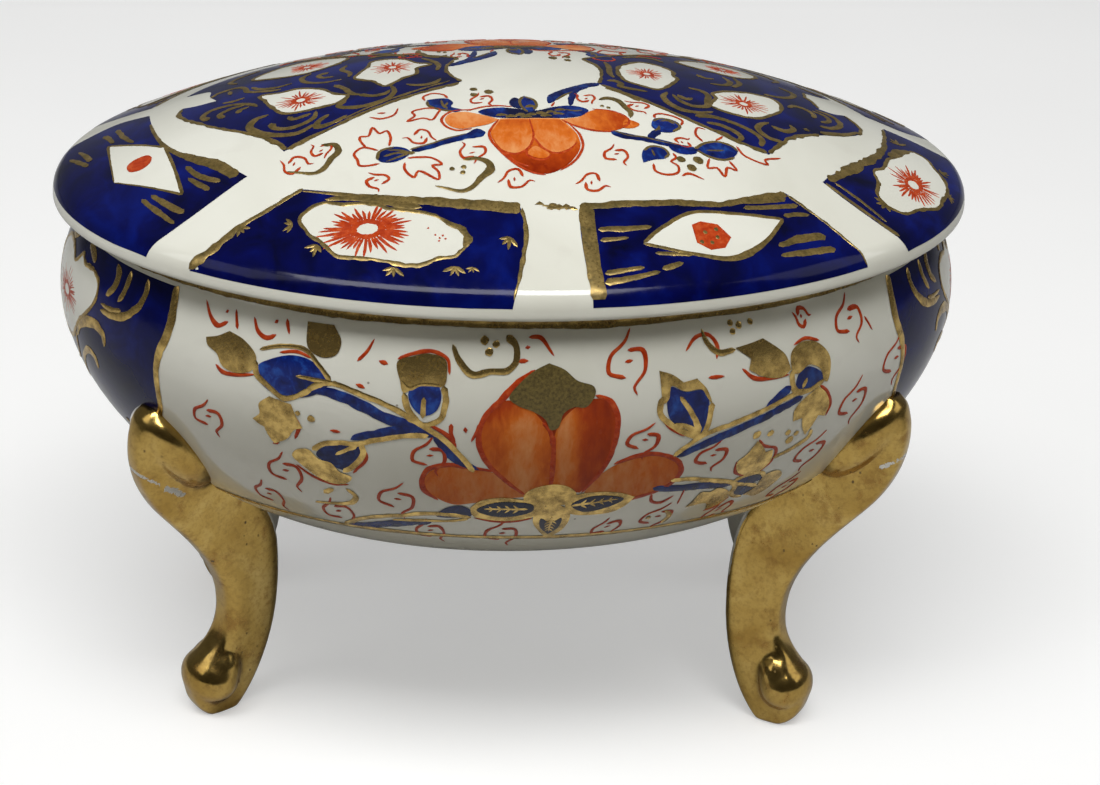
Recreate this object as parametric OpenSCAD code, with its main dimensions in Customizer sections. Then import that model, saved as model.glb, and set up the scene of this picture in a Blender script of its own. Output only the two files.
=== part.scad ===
// Porcelain trinket box: an oval bombe bowl on four cabriole legs, with a lift-off domed lid.
// Frame: origin on the table under the middle of the box, X along the long axis, Y front (-) to
// back (+), Z up. Plans are ellipses: each body is a revolved outline narrowed in Y.

/* [Lid] */
// Length of the lid's oval edge
lid_length = 125; // [120:1:130]
// Width of the lid's oval edge
lid_width = 92; // [88:1:98]
// Rise of the dome above the lid's underside
lid_rise = 16.5; // [14:0.5:20]
// Height of the upright edge under the dome
lid_edge = 3; // [2.5:0.5:4]
// Wall of the lid
lid_wall = 3; // [2.5:0.25:3.5]
// Depth of the ring that drops into the bowl's mouth
flange_depth = 4; // [3:0.5:6]
// Wall of that ring
flange_wall = 2.5; // [2:0.25:3]
// Play between the ring and the mouth, all round
flange_play = 0.8; // [0.4:0.1:1.2]

/* [Bowl] */
// Height of the rim above the table, where the lid rests
rim_height = 72; // [68:1:76]
// Length over the fullest part of the belly
belly_length = 124; // [120:1:128]
// Depth of the fullest part below the rim
belly_drop = 13.5; // [11:0.5:16]
// Length over the rim
mouth_length = 114; // [110:1:116]
// Depth from the rim to the underside
bowl_depth = 44; // [42:1:46]
// Length of the flat underside
base_length = 48; // [44:2:54]
// Wall of the bowl
bowl_wall = 3; // [2.5:0.25:3.5]

/* [Legs] */
// Thickness of a leg's blade, seen end on
leg_thickness = 5; // [4.5:0.5:6]
// How far the top of a knee stands from the middle along X
knee_x = 49; // [48:0.5:50]
// How far the top of a knee stands from the middle along Y
knee_y = 25.5; // [24.5:0.5:26.5]
// The same along X for the rear right leg, which was stuck on a little further round
rear_right_knee_x = 51; // [49:0.5:52]
// The same along Y for the rear right leg
rear_right_knee_y = 24; // [23:0.5:26]
// Direction in which each leg sweeps out, from the X axis
leg_turn = 33; // [28:1:45]
// Sideways lean of the front left leg, which was stuck on by hand
left_lean = 4; // [0:0.5:6]
// Sideways lean of the front right leg
right_lean = 6; // [0:0.5:8]
// Sideways lean of the rear right leg
rear_right_lean = 5; // [0:0.5:8]
// Radius of the ball on each toe
toe_radius = 3.8; // [3.4:0.1:4.2]

/* [Hidden] */
$fn = 120;
porcelain = [0.94, 0.94, 0.91];
gilding = [0.72, 0.55, 0.22];

steps = 18;
narrow = lid_width / lid_length;
belly_z = rim_height - belly_drop;
base_z = rim_height - bowl_depth;
mouth_inside = mouth_length / 2 - bowl_wall;
ring_outside = mouth_inside - flange_play;
knee_z = 52;
below = 60;

// Width to length of an oval that stays the same distance inside the lid's outline all round
function inset_ratio(gap) = (lid_width - 2 * gap) / (lid_length - 2 * gap);
// Half length of the belly at a share t of the way down from the fullest part to the underside
function belly(t) = base_length / 2
    + (belly_length - base_length) / 2 * pow(1 - pow(t, 1.75), 1 / 2.1);
// Half length of the shoulder at a share t of the way up from the fullest part to the rim
function shoulder(t) = belly_length / 2 - (belly_length - mouth_length) / 2 * pow(t, 2.2);
// Shares that crowd towards 1, where the belly and the dome turn over fastest
function crowd(i) = sin(90 * i / steps);
// Point at share t of a cubic curve through four control points
function curve(p, t) = pow(1 - t, 3) * p[0] + 3 * pow(1 - t, 2) * t * p[1]
    + 3 * (1 - t) * t * t * p[2] + t * t * t * p[3];
function along(p, n = 8) = [for (i = [0:n - 1]) curve(p, i / n)];

// A half outline revolved in two half turns and narrowed to an oval
module oval(ratio) {
    for (turn = [0, 180]) scale([1, ratio, 1]) rotate([0, 0, turn])
        rotate_extrude(angle = 180) children();
}

// ---- bowl ----

// Side of the bowl from the underside to just below the rim, moved inwards by gap
function bowl_side(gap) = concat(
    [for (i = [steps:-1:1]) [belly(crowd(i)) - gap,
        belly_z - (belly_z - base_z - gap) * crowd(i)]],
    [for (i = [0:5]) [shoulder(i / 6) - gap, belly_z + belly_drop * i / 6]]);

module bowl_outside() {
    lip = 0.5;
    oval(narrow) polygon(concat(
        [[0, base_z]],
        bowl_side(0),
        [[mouth_length / 2, rim_height - lip],
         [mouth_length / 2 - lip, rim_height],
         [0, rim_height]]));
}

module bowl_hollow() {
    oval(inset_ratio(bowl_wall)) polygon(concat(
        [[0, base_z + bowl_wall]],
        bowl_side(bowl_wall),
        [[mouth_inside, rim_height],
         [mouth_inside, rim_height + 1],
         [0, rim_height + 1]]));
}

module bowl() {
    color(porcelain) difference() {
        bowl_outside();
        bowl_hollow();
    }
}

// ---- lid ----

// Dome from the upright edge to the crown, as a half outline of half length a and rise h
function dome(a, h, foot) = [for (i = [steps:-1:0])
    let (t = crowd(i)) [a * t, foot + h * (1 - pow(t, 2.2))]];

module lid_outside() {
    half = lid_length / 2;
    oval(narrow) polygon(concat(
        [[0, rim_height],
         [half - 0.6, rim_height],
         [half, rim_height + 0.6]],
        dome(half - 0.3, lid_rise - lid_edge, rim_height + lid_edge)));
}

module lid_hollow() {
    half = ring_outside - flange_wall;
    oval(inset_ratio(lid_length / 2 - half)) polygon(concat(
        [[0, rim_height - 1],
         [half, rim_height - 1]],
        dome(half, lid_rise - lid_edge - lid_wall, rim_height + lid_edge)));
}

module lid() {
    color(porcelain) difference() {
        lid_outside();
        lid_hollow();
    }
}

// Ring under the lid, which drops into the mouth and keeps the lid in place
module lid_locating_flange() {
    inside = ring_outside - flange_wall;
    low = rim_height - flange_depth;
    edge = 0.6;
    color(porcelain) difference() {
        oval(inset_ratio(lid_length / 2 - ring_outside)) polygon([
            [0, low],
            [ring_outside - edge, low],
            [ring_outside, low + edge],
            [ring_outside, rim_height],
            [0, rim_height]]);
        oval(inset_ratio(lid_length / 2 - inside)) translate([0, low - 1])
            square([inside, flange_depth + 2]);
    }
}

// ---- legs ----
// A leg is drawn upright in the XZ plane: X outwards from the top of its knee, Z up from the table.

// Stock under each foot, which is ground off flat on the table plane
foot_spare = 0.6;
// Outer edge: over the knee, in to the ankle and out to the toe
leg_outer = [
    [[-1, 52.5], [4.5, 52], [5.2, 42], [-1, 34.5]],
    [[-1, 34.5], [-5.5, 29], [-11, 23], [-11, 16]],
    [[-11, 16], [-11, 12], [-9.5, 11], [-7.5, 8.5]],
    [[-7.5, 8.5], [-4.5, 5.5], [-6, 0.2], [-9, -foot_spare]]];
// Inner edge: from the pad under the foot up the back of the blade
leg_inner = [
    [[-12.5, -foot_spare], [-16, 2], [-19.5, 9], [-19.5, 20]],
    [[-19.5, 20], [-19.5, 26], [-19, 28.5], [-17, 32]]];
// Edge buried in the bowl, from low to high
leg_root = [[-15, 35.5], [-10, 41], [-5, 46.5], [-3, 51.5]];

module leg_blade() {
    rotate([90, 0, 0]) linear_extrude(leg_thickness, center = true)
        polygon(concat([for (p = leg_outer) each along(p)], [[-9, -foot_spare]],
            [for (p = leg_inner) each along(p)], leg_root));
}

// Long drop-shaped swelling on each side of the knee
module knee_lobe() {
    translate([-3, 0, 44.8]) rotate([0, 38, 0]) scale([3.8, 5.6, 8]) sphere(1);
}

// Ball on each side of the toe, drawn out upwards into the ankle
module toe() {
    translate([-9.3, 0, 5.4]) scale([1, 1.25, 1]) sphere(toe_radius);
    translate([-10, 0, 6.2]) rotate([0, -20, 0]) scale([3.3, 4.3, 4.9]) sphere(1);
}

// A leg with its knee at the given side (1 right, -1 left) and end (1 rear, -1 front)
module leg(side, end, lean, x = knee_x, y = knee_y) {
    color(gilding) difference() {
        translate([side * x, end * y, 0]) rotate([0, 0, side * end * leg_turn])
            mirror([side < 0 ? 1 : 0, 0, 0])
            translate([0, 0, knee_z]) rotate([lean, 0, 0]) translate([0, 0, -knee_z]) {
                leg_blade();
                knee_lobe();
                toe();
            }
        bowl_outside();
        translate([0, 0, -below / 2]) cube([lid_length, lid_width, below], center = true);
    }
}

module leg_front_left() {
    leg(-1, -1, left_lean);
}

module leg_front_right() {
    leg(1, -1, -right_lean);
}

module leg_rear_left() {
    leg(-1, 1, 0);
}

module leg_rear_right() {
    leg(1, 1, -rear_right_lean, rear_right_knee_x, rear_right_knee_y);
}

bowl();
lid();
lid_locating_flange();
leg_front_left();
leg_front_right();
leg_rear_left();
leg_rear_right();
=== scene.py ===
"""Looks of the porcelain trinket box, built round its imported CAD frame.

Lengths are millimetres until a mesh is made. The painted decoration is drawn on two flat maps, one for the
lid's top (x, y) and one for the bowl's side (s round it, height), and laid on the porcelain as thin geometry.
"""

import math

import bpy
import numpy as np
from mathutils import Matrix, Vector, geometry


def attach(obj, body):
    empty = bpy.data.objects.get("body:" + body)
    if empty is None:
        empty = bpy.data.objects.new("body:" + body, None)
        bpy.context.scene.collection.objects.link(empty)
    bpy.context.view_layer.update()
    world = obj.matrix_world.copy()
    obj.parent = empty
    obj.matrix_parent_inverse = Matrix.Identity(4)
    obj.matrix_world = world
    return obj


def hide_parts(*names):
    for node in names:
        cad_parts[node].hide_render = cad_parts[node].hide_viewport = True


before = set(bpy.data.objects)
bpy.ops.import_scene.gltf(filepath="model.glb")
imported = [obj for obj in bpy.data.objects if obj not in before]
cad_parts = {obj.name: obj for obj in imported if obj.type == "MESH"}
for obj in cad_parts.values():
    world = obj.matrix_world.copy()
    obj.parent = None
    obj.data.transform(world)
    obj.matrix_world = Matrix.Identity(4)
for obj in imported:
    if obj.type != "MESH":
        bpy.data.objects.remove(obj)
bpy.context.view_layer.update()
MM = 0.001
rng = np.random.default_rng(20)

# ---------------------------------------------------------------- surfaces

LENGTH, WIDTH, WALL = 125, 92, 3  # over the lid's edge, and the porcelain's thickness
NARROW = WIDTH / LENGTH  # width over length of the outside of the lid and the bowl
HOLLOW_NARROW = (WIDTH - 2 * WALL) / (LENGTH - 2 * WALL)  # the same for the bowl's hollow
BASE_Z, BELLY_Z, RIM_Z, LID_Z = 28.0, 58.5, 72.0, 75.0  # underside, fullest part, rim and foot of the dome
BASE_HALF, BELLY_HALF, MOUTH_HALF = 24, 62, 57  # half lengths of the bowl
DOME_HALF, DOME_RISE = 62.2, 13.5
OVAL_POWER = 2.2  # how late the dome and the bowl's shoulder turn over
BEND_START, BEND_RADIUS = 60.4, 3.6  # where the lid's top turns down, and how tightly
RIM_Q = 63.3  # outer edge of the lid's painted panels
RING_HALF, RING_NARROW = 53.2, 0.69  # outside of the ring under the lid
LID_HOLLOW_HALF, LID_HOLLOW_NARROW, LID_HOLLOW_RISE = 50.7, 0.6746, 10.5
TURN = 57.0  # bowl coordinate s over the angle in radians, so s is about an arc length
SEGMENTS = 288


def lid_profile(q):
    """Half length and height of the lid's top at a distance q from its middle, measured along the bend."""
    flat = np.minimum(q, BEND_START)
    z = LID_Z + DOME_RISE * (1 - (flat / DOME_HALF) ** OVAL_POWER)
    first = math.atan(OVAL_POWER * DOME_RISE / DOME_HALF * (BEND_START / DOME_HALF) ** (OVAL_POWER - 1))
    angle = np.clip(first + (q - BEND_START) / BEND_RADIUS, first, math.pi / 2)
    over = q > BEND_START
    rho = np.where(over, BEND_START + BEND_RADIUS * (np.sin(angle) - math.sin(first)), flat)
    z = np.where(over, z - BEND_RADIUS * (math.cos(first) - np.cos(angle)), z)
    return rho, z


def on_lid(uv):
    """Points of the lid's top over flat map points."""
    x, y = uv[:, 0], uv[:, 1]
    q = np.hypot(x, y / NARROW) + 1e-9
    rho, z = lid_profile(q)
    return np.stack([x * rho / q, y * rho / q, z], 1)


def belly_half(share):
    """Half length of the belly at a share of the way down from its fullest part."""
    return BASE_HALF + (BELLY_HALF - BASE_HALF) * (1 - share**1.75) ** (1 / 2.1)


def bowl_half(z):
    """Half length of the bowl's outside at height z."""
    down = np.clip((BELLY_Z - z) / (BELLY_Z - BASE_Z), 0, 1)
    up = np.clip((z - BELLY_Z) / (RIM_Z - BELLY_Z), 0, 1)
    shoulder = BELLY_HALF - (BELLY_HALF - MOUTH_HALF) * up**OVAL_POWER
    return np.where(z < BELLY_Z, belly_half(down), shoulder)


def on_bowl(uv):
    """Points of the bowl's side over flat map points: s round it from the front, then height."""
    angle, z = uv[:, 0] / TURN, uv[:, 1]
    a = bowl_half(z)
    return np.stack([a * np.sin(angle), -NARROW * a * np.cos(angle), z], 1)


def raised(surface, uv, lift):
    """Points of a surface pushed out along its normal by lift."""
    uv = np.asarray(uv, float)
    d = 0.02
    du = surface(uv + [d, 0]) - surface(uv - [d, 0])
    dv = surface(uv + [0, d]) - surface(uv - [0, d])
    normal = np.cross(du, dv)
    normal /= np.linalg.norm(normal, axis=1)[:, None]
    return surface(uv) + normal * np.reshape(lift, (-1, 1))


# ---------------------------------------------------------------- outlines and strokes


def smooth_line(points, closed=False, step=0.5, default=0.0):
    """A smooth line through given points.

    A third value is carried along: on an outline 1 marks a corner, on a stroke it is a share of its width.
    """
    p = np.array([q[:2] for q in points], float)
    extra = np.array([q[2] if len(q) > 2 else default for q in points], float)
    n = len(p)
    nxt = (np.arange(n) + 1) % n
    gap = np.sqrt(np.maximum(np.linalg.norm(p[nxt] - p, axis=1), 1e-6))
    slope = (p[nxt] - p) / gap[:, None]
    before = np.roll(slope, 1, 0)
    mid = before + slope - (p[nxt] - np.roll(p, 1, 0)) / (gap + np.roll(gap, 1))[:, None]
    out_dir, in_dir = mid.copy(), mid.copy()
    corner = extra == 1 if default == 0.0 else np.zeros(n, bool)
    out_dir[corner], in_dir[corner] = slope[corner], before[corner]
    if not closed:
        out_dir[0], in_dir[-1] = slope[0], before[-1]
    rows = []
    for k in range(n if closed else n - 1):
        j = (k + 1) % n
        parts = max(2, math.ceil(np.linalg.norm(p[j] - p[k]) / step))
        t = (np.arange(parts) / parts)[:, None]
        h = gap[k]
        line = (
            (2 * t**3 - 3 * t**2 + 1) * p[k]
            + (t**3 - 2 * t**2 + t) * h * out_dir[k]
            + (3 * t**2 - 2 * t**3) * p[j]
            + (t**3 - t**2) * h * in_dir[j]
        )
        rows.append(np.hstack([line, (1 - t) * extra[k] + t * extra[j]]))
    if not closed:
        rows.append(np.array([[*p[-1], extra[-1]]]))
    return np.vstack(rows)


def inside(points, edge):
    """Which points lie in a closed outline."""
    x, y = points[:, :1], points[:, 1:]
    x0, y0 = edge[:, 0], edge[:, 1]
    x1, y1 = np.roll(x0, -1), np.roll(y0, -1)
    crosses = ((y0 > y) != (y1 > y)) & (x < (x1 - x0) * (y - y0) / (y1 - y0 + 1e-12) + x0)
    return crosses.sum(1) % 2 == 1


class Layer:
    """One painted colour on one surface: patches and strokes gathered into one mesh."""

    def __init__(self, name, surface, body, material, slot, lift):
        self.name, self.surface, self.body = name, surface, body
        self.material, self.slot, self.lift = material, slot, lift
        self.points, self.faces, self.tones, self.count = [], [], [], 0
        self.tone = 0.5
        self.moves = [same]

    def put(self, uv, lift, faces, tone):
        """Adds flat map geometry once for each move, turned so that every copy faces outwards."""
        uv = np.asarray(uv, float)
        tone = self.tone if tone is None else tone
        for move in self.moves:
            moved = move(uv)
            near = move(uv[:1] + [[0, 0], [0.01, 0], [0, 0.01]])
            (ax, ay), (bx, by) = near[1] - near[0], near[2] - near[0]
            way = 1 if ax * by - ay * bx > 0 else -1
            self.points.append(raised(self.surface, moved, lift))
            self.faces += [[i + self.count for i in f[::way]] for f in faces]
            self.tones.append(np.broadcast_to(tone, len(uv)).astype(float))
            self.count += len(uv)

    def fill(self, outline, tone=None, grid=1.1):
        """A patch inside an outline, netted finely enough to follow the curved surface."""
        edge = smooth_line(outline, True, 0.45)[:, :2]
        low, high = edge.min(0), edge.max(0)
        gx, gy = np.meshgrid(np.arange(low[0], high[0], grid), np.arange(low[1], high[1], grid))
        gx[1::2] += grid / 2
        net = np.stack([gx.ravel(), gy.ravel()], 1)
        if self.surface is on_lid and np.hypot(edge[:, 0], edge[:, 1] / NARROW).max() > BEND_START:
            # Past the bend the net follows the rim, so that its edges turn over together.
            a = np.arange(0, 2 * math.pi, 0.9 / BELLY_HALF)
            bends = np.arange(BEND_START - 0.2, RIM_Q, 0.45)
            rings = [np.stack([q * np.cos(a), q * NARROW * np.sin(a)], 1) for q in bends]
            net = net[np.hypot(net[:, 0], net[:, 1] / NARROW) < BEND_START - 0.8]
            net = np.vstack([net, *rings])
        net = net[inside(net, edge)] if len(net) else net
        if len(net):
            near = np.min(np.linalg.norm(net[:, None] - edge[None], axis=2), 1)
            net = net[near > 0.35]
        flat = [Vector(p) for p in np.vstack([edge, net])]
        verts, _, faces, *_ = geometry.delaunay_2d_cdt(flat, [], [list(range(len(edge)))], 1, 1e-5)
        uv = np.array([v[:] for v in verts])
        turned = []
        for f in faces:
            a, b, c = uv[f[0]], uv[f[1]], uv[f[2]]
            area = (b[0] - a[0]) * (c[1] - a[1]) - (b[1] - a[1]) * (c[0] - a[0])
            turned.append(list(f) if area > 0 else list(f)[::-1])
        self.put(uv, self.lift, turned, tone(uv) if callable(tone) else tone)

    def stroke(self, points, width, crown=0.02, closed=False, ragged=0.1, tone=None, step=0.45, blunt=0.0):
        """A brush line with tapered ends, a raised middle and unsteady edges."""
        line = smooth_line(points, closed, step, 1.0)
        if closed:
            line = np.vstack([line, line[:1]])
        path, share = line[:, :2], line[:, 2]
        d = np.gradient(path, axis=0)
        d /= np.linalg.norm(d, axis=1)[:, None] + 1e-9
        side = np.stack([-d[:, 1], d[:, 0]], 1)
        run = np.concatenate([[0], np.cumsum(np.linalg.norm(np.diff(path, axis=0), axis=1))])
        half = width / 2 * share
        if not closed:
            end = np.minimum(run, run[-1] - run)
            half = half * np.sqrt(np.clip(end / (0.55 * width) + blunt, 0.03, 1))
        knots = np.arange(0, run[-1] + 1.4, 0.7)
        wobble = np.interp(run, knots, rng.normal(0, 1, len(knots)))
        drift = np.interp(run, knots, rng.normal(0, 1, len(knots)))
        if closed:
            wobble[-1], drift[-1] = wobble[0], drift[0]
        left, right = half * (1 + ragged * wobble), half * (1 + ragged * drift)
        columns = ((-1, 0), (0, 1), (1, 0))
        if width > 0.45:
            columns = ((-1, 0), (-0.6, 0.85), (0, 1), (0.6, 0.85), (1, 0))
        uv, lift = [], []
        for across, high in columns:
            reach = left if across > 0 else right
            uv.append(path + side * (across * reach)[:, None])
            sunk = 0.03 if high == 0 else 0
            lift.append(np.full(len(path), self.lift - sunk + crown * high))
        n = len(path)
        faces = []
        for c in range(len(columns) - 1):
            for k in range(c * n, c * n + n - 1):
                faces.append([k + n, k + n + 1, k + 1, k])
        self.put(np.vstack(uv), np.concatenate(lift), faces, tone)

    def dot(self, x, y, r, crown=0.03):
        """A round dab of paint."""
        sides = 14
        a = np.arange(sides) * 2 * math.pi / sides
        uv, lift = [[x, y]], [self.lift + crown]
        for share, high in ((0.5, 0.85), (0.85, 0.5), (1, -0.4)):
            reach = r * share * (1 + 0.06 * rng.normal(0, 1, sides))
            uv += list(np.stack([x + reach * np.cos(a), y + reach * np.sin(a)], 1))
            lift += [self.lift + crown * high] * sides
        faces = [[0, 1 + k, 1 + (k + 1) % sides] for k in range(sides)]
        for ring in range(2):
            b = 1 + ring * sides
            for k in range(sides):
                n = (k + 1) % sides
                faces.append([b + k, b + sides + k, b + sides + n, b + n])
        self.put(np.array(uv), np.array(lift), faces, None)

    def build(self):
        points = np.vstack(self.points)
        piece = make_piece(self.name, points, self.faces, self.material, self.body)
        set_tone(piece, np.concatenate(self.tones))


def set_tone(piece, values):
    """Stores the per-point value that the finishes read: paint strength, which on the gold also paints in
    light and shade, or bare porcelain on a leg.
    """
    tone = piece.data.attributes.new("tone", "FLOAT", "POINT")
    tone.data.foreach_set("value", values.astype(np.float32))


def make_piece(name, points, faces, material, body, replaces=()):
    """A smooth shaded mesh that rides on a body and wears one material."""
    mesh = bpy.data.meshes.new(name)
    mesh.from_pydata([tuple(p) for p in np.asarray(points) * MM], [], [list(f) for f in faces])
    mesh.validate()
    mesh.polygons.foreach_set("use_smooth", [True] * len(mesh.polygons))
    mesh.materials.append(material)
    piece = bpy.data.objects.new(name, mesh)
    bpy.context.scene.collection.objects.link(piece)
    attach(piece, body)
    if replaces:
        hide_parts(*replaces)
    return piece


def lathe(name, rings, closed, material, body, replaces):
    """An oval shell through rings of (half length, half width, height). A ring of no length is a pole."""
    a = np.arange(SEGMENTS) * 2 * math.pi / SEGMENTS
    points, start = [], []
    for rx, ry, z in rings:
        start.append((len(points), rx < 1e-6))
        if rx < 1e-6:
            points.append((0, 0, z))
        else:
            points += list(zip(rx * np.cos(a), ry * np.sin(a), np.full(SEGMENTS, z)))
    faces = []
    pairs = list(zip(start, start[1:])) + ([(start[-1], start[0])] if closed else [])
    for (i, pole_i), (j, pole_j) in pairs:
        for k in range(SEGMENTS):
            n = (k + 1) % SEGMENTS
            if pole_i:
                faces.append([i, j + n, j + k])
            elif pole_j:
                faces.append([i + k, i + n, j])
            else:
                faces.append([i + k, i + n, j + n, j + k])
    make_piece(name, points, [f[::-1] for f in faces], material, body, replaces)


# ---------------------------------------------------------------- materials


class Nodes:
    """Short names for the shader nodes that the finishes use. Patterns are in millimetres of the object."""

    def __init__(self, name):
        self.material = bpy.data.materials.new(name)
        self.material.use_nodes = True
        self.tree = self.material.node_tree
        self.shader = self.tree.nodes["Principled BSDF"]
        where = self.new("ShaderNodeTexCoord")
        scale = self.new("ShaderNodeVectorMath", operation="SCALE")
        scale.inputs["Scale"].default_value = 1 / MM
        self.link(where.outputs["Object"], scale.inputs[0])
        self.place = scale.outputs[0]

    def new(self, kind, **values):
        node = self.tree.nodes.new(kind)
        for key, value in values.items():
            setattr(node, key, value)
        return node

    def link(self, a, b):
        self.tree.links.new(a, b)

    def stretched(self, x, y, z):
        node = self.new("ShaderNodeVectorMath", operation="MULTIPLY")
        node.inputs[1].default_value = (x, y, z)
        self.link(self.place, node.inputs[0])
        return node.outputs[0]

    def noise(self, size, detail=3.0, place=None, rough=0.5, warp=0.0):
        node = self.new("ShaderNodeTexNoise")
        node.inputs["Scale"].default_value = 1 / size
        node.inputs["Detail"].default_value = detail
        node.inputs["Roughness"].default_value = rough
        node.inputs["Distortion"].default_value = warp
        self.link(place or self.place, node.inputs["Vector"])
        return node.outputs["Fac"]

    def cells(self, size, place=None):
        node = self.new("ShaderNodeTexVoronoi")
        node.inputs["Scale"].default_value = 1 / size
        self.link(place or self.place, node.inputs["Vector"])
        return node.outputs["Distance"]

    def ramp(self, value, *stops):
        node = self.new("ShaderNodeValToRGB")
        ramp = node.color_ramp
        while len(ramp.elements) < len(stops):
            ramp.elements.new(0.5)
        for element, (at, colour) in zip(ramp.elements, stops):
            element.position = at
            element.color = (*colour, 1) if isinstance(colour, tuple) else (colour, colour, colour, 1)
        self.link(value, node.inputs[0])
        return node.outputs[0]

    def mix(self, share, a, b):
        node = self.new("ShaderNodeMix", data_type="RGBA")
        for socket, value in ((0, share), (6, a), (7, b)):
            if isinstance(value, (int, float)):
                node.inputs[socket].default_value = value if socket == 0 else (value, value, value, 1)
            elif isinstance(value, tuple):
                node.inputs[socket].default_value = (*value, 1)
            else:
                self.link(value, node.inputs[socket])
        return node.outputs[2]

    def math(self, operation, a, b):
        node = self.new("ShaderNodeMath", operation=operation)
        for socket, value in ((0, a), (1, b)):
            if isinstance(value, (int, float)):
                node.inputs[socket].default_value = value
            else:
                self.link(value, node.inputs[socket])
        return node.outputs[0]

    def uneven(self, value, pattern, swing):
        """A value pushed up and down by a pattern that has its middle at 0.5."""
        return self.math("ADD", value, self.math("MULTIPLY", self.math("SUBTRACT", pattern, 0.5), swing))

    def tone(self):
        node = self.new("ShaderNodeAttribute", attribute_name="tone")
        return node.outputs["Fac"]

    def set(self, **values):
        for key, value in values.items():
            socket = self.shader.inputs[key.replace("_", " ")]
            if isinstance(value, (int, float)):
                socket.default_value = value
            else:
                self.link(value, socket)

    def bump(self, height, depth, strength=1.0):
        node = self.new("ShaderNodeBump")
        node.inputs["Strength"].default_value = strength
        node.inputs["Distance"].default_value = depth * MM
        self.link(height, node.inputs["Height"])
        self.link(node.outputs[0], self.shader.inputs["Normal"])


def porcelain():
    """Warm white glaze, cloudy, faintly stained and lightly specked."""
    n = Nodes("white_porcelain")
    cream, milk = (0.715, 0.708, 0.615), (0.815, 0.812, 0.725)
    stained, speck = (0.62, 0.59, 0.52), (0.16, 0.12, 0.08)
    cloud = n.ramp(n.noise(26, 3, warp=0.6), (0.32, cream), (0.68, milk))
    stain = n.ramp(n.noise(5, 5), (0.62, 0.0), (0.8, 0.28))
    specks = n.ramp(n.cells(6.5), (0.0, 0.75), (0.018, 0.75), (0.03, 0.0))
    n.set(Base_Color=n.mix(specks, n.mix(stain, cloud, stained), speck))
    n.set(Roughness=n.ramp(n.noise(8, 4), (0.3, 0.06), (0.7, 0.15)), IOR=1.52, Specular_IOR_Level=0.5)
    n.set(Coat_Weight=0.25, Coat_Roughness=0.04)
    n.bump(n.noise(7, 2), 0.05, 0.5)
    return n.material


def cobalt():
    """Dark underglaze blue, uneven where the brush overlapped."""
    n = Nodes("cobalt_glaze")
    dark, deep, pale = (0.0008, 0.0011, 0.018), (0.0008, 0.002, 0.06), (0.0014, 0.0085, 0.15)
    even = (0.0012, 0.0045, 0.085)
    brush = n.noise(4.2, 4, n.stretched(0.8, 0.6, 0.8), 0.5, 0.5)
    wash = n.ramp(brush, (0.3, dark), (0.5, deep), (0.74, pale))
    broad = n.ramp(n.noise(17, 2, warp=0.4), (0.36, 0.0), (0.66, 0.75))
    n.set(Base_Color=n.mix(n.math("MULTIPLY", broad, 0.45), wash, even))
    n.set(Roughness=n.ramp(n.noise(1.2, 5), (0.3, 0.08), (0.75, 0.20)), IOR=1.5, Specular_IOR_Level=0.2)
    n.bump(n.noise(0.9, 4, rough=0.6), 0.012, 0.6)
    return n.material


def bud_blue():
    """Brighter blue of the buds and stems: tone 0 is nearly black, tone 1 shows the brushwork."""
    n = Nodes("cobalt_brushwork")
    ink, dark = (0.002, 0.003, 0.02), (0.0012, 0.004, 0.05)
    middle, bright = (0.003, 0.017, 0.17), (0.016, 0.085, 0.4)
    brush = n.noise(1.6, 4, n.stretched(1.0, 0.7, 0.8), 0.6, 0.5)
    n.set(Base_Color=n.mix(n.tone(), ink, n.ramp(brush, (0.28, dark), (0.5, middle), (0.72, bright))))
    n.set(Roughness=n.ramp(n.noise(2, 4), (0.3, 0.07), (0.7, 0.2)), IOR=1.52, Specular_IOR_Level=0.25)
    n.bump(n.noise(1.2, 3), 0.02, 0.5)
    return n.material


def orange():
    """Petal enamel: tone 0 is a thin peach wash, tone 1 a thick brick red."""
    n = Nodes("orange_enamel")
    peach, clear = (0.74, 0.3, 0.1), (0.64, 0.145, 0.014)
    rust, brick = (0.43, 0.052, 0.003), (0.21, 0.014, 0.001)
    brush = n.noise(1.1, 4, n.stretched(1.0, 0.5, 0.35), 0.6, 0.3)
    strength = n.uneven(n.tone(), brush, 0.75)
    n.set(Base_Color=n.ramp(strength, (0.0, peach), (0.3, clear), (0.6, rust), (1.0, brick)))
    n.set(Roughness=n.ramp(n.noise(1.5, 4), (0.3, 0.1), (0.75, 0.3)), IOR=1.5, Specular_IOR_Level=0.14)
    n.bump(brush, 0.03, 0.5)
    return n.material


def iron_red():
    """Fine red drawing, thinner in places."""
    n = Nodes("iron_red_line")
    full, middle, thin = (0.32, 0.024, 0.003), (0.47, 0.052, 0.008), (0.58, 0.13, 0.035)
    brush = n.noise(0.8, 4, rough=0.6)
    n.set(Base_Color=n.ramp(brush, (0.3, full), (0.55, middle), (0.8, thin)))
    n.set(Roughness=n.ramp(n.noise(1.2, 3), (0.3, 0.2), (0.7, 0.42)), IOR=1.5, Specular_IOR_Level=0.2)
    n.bump(brush, 0.02, 0.5)
    return n.material


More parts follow.
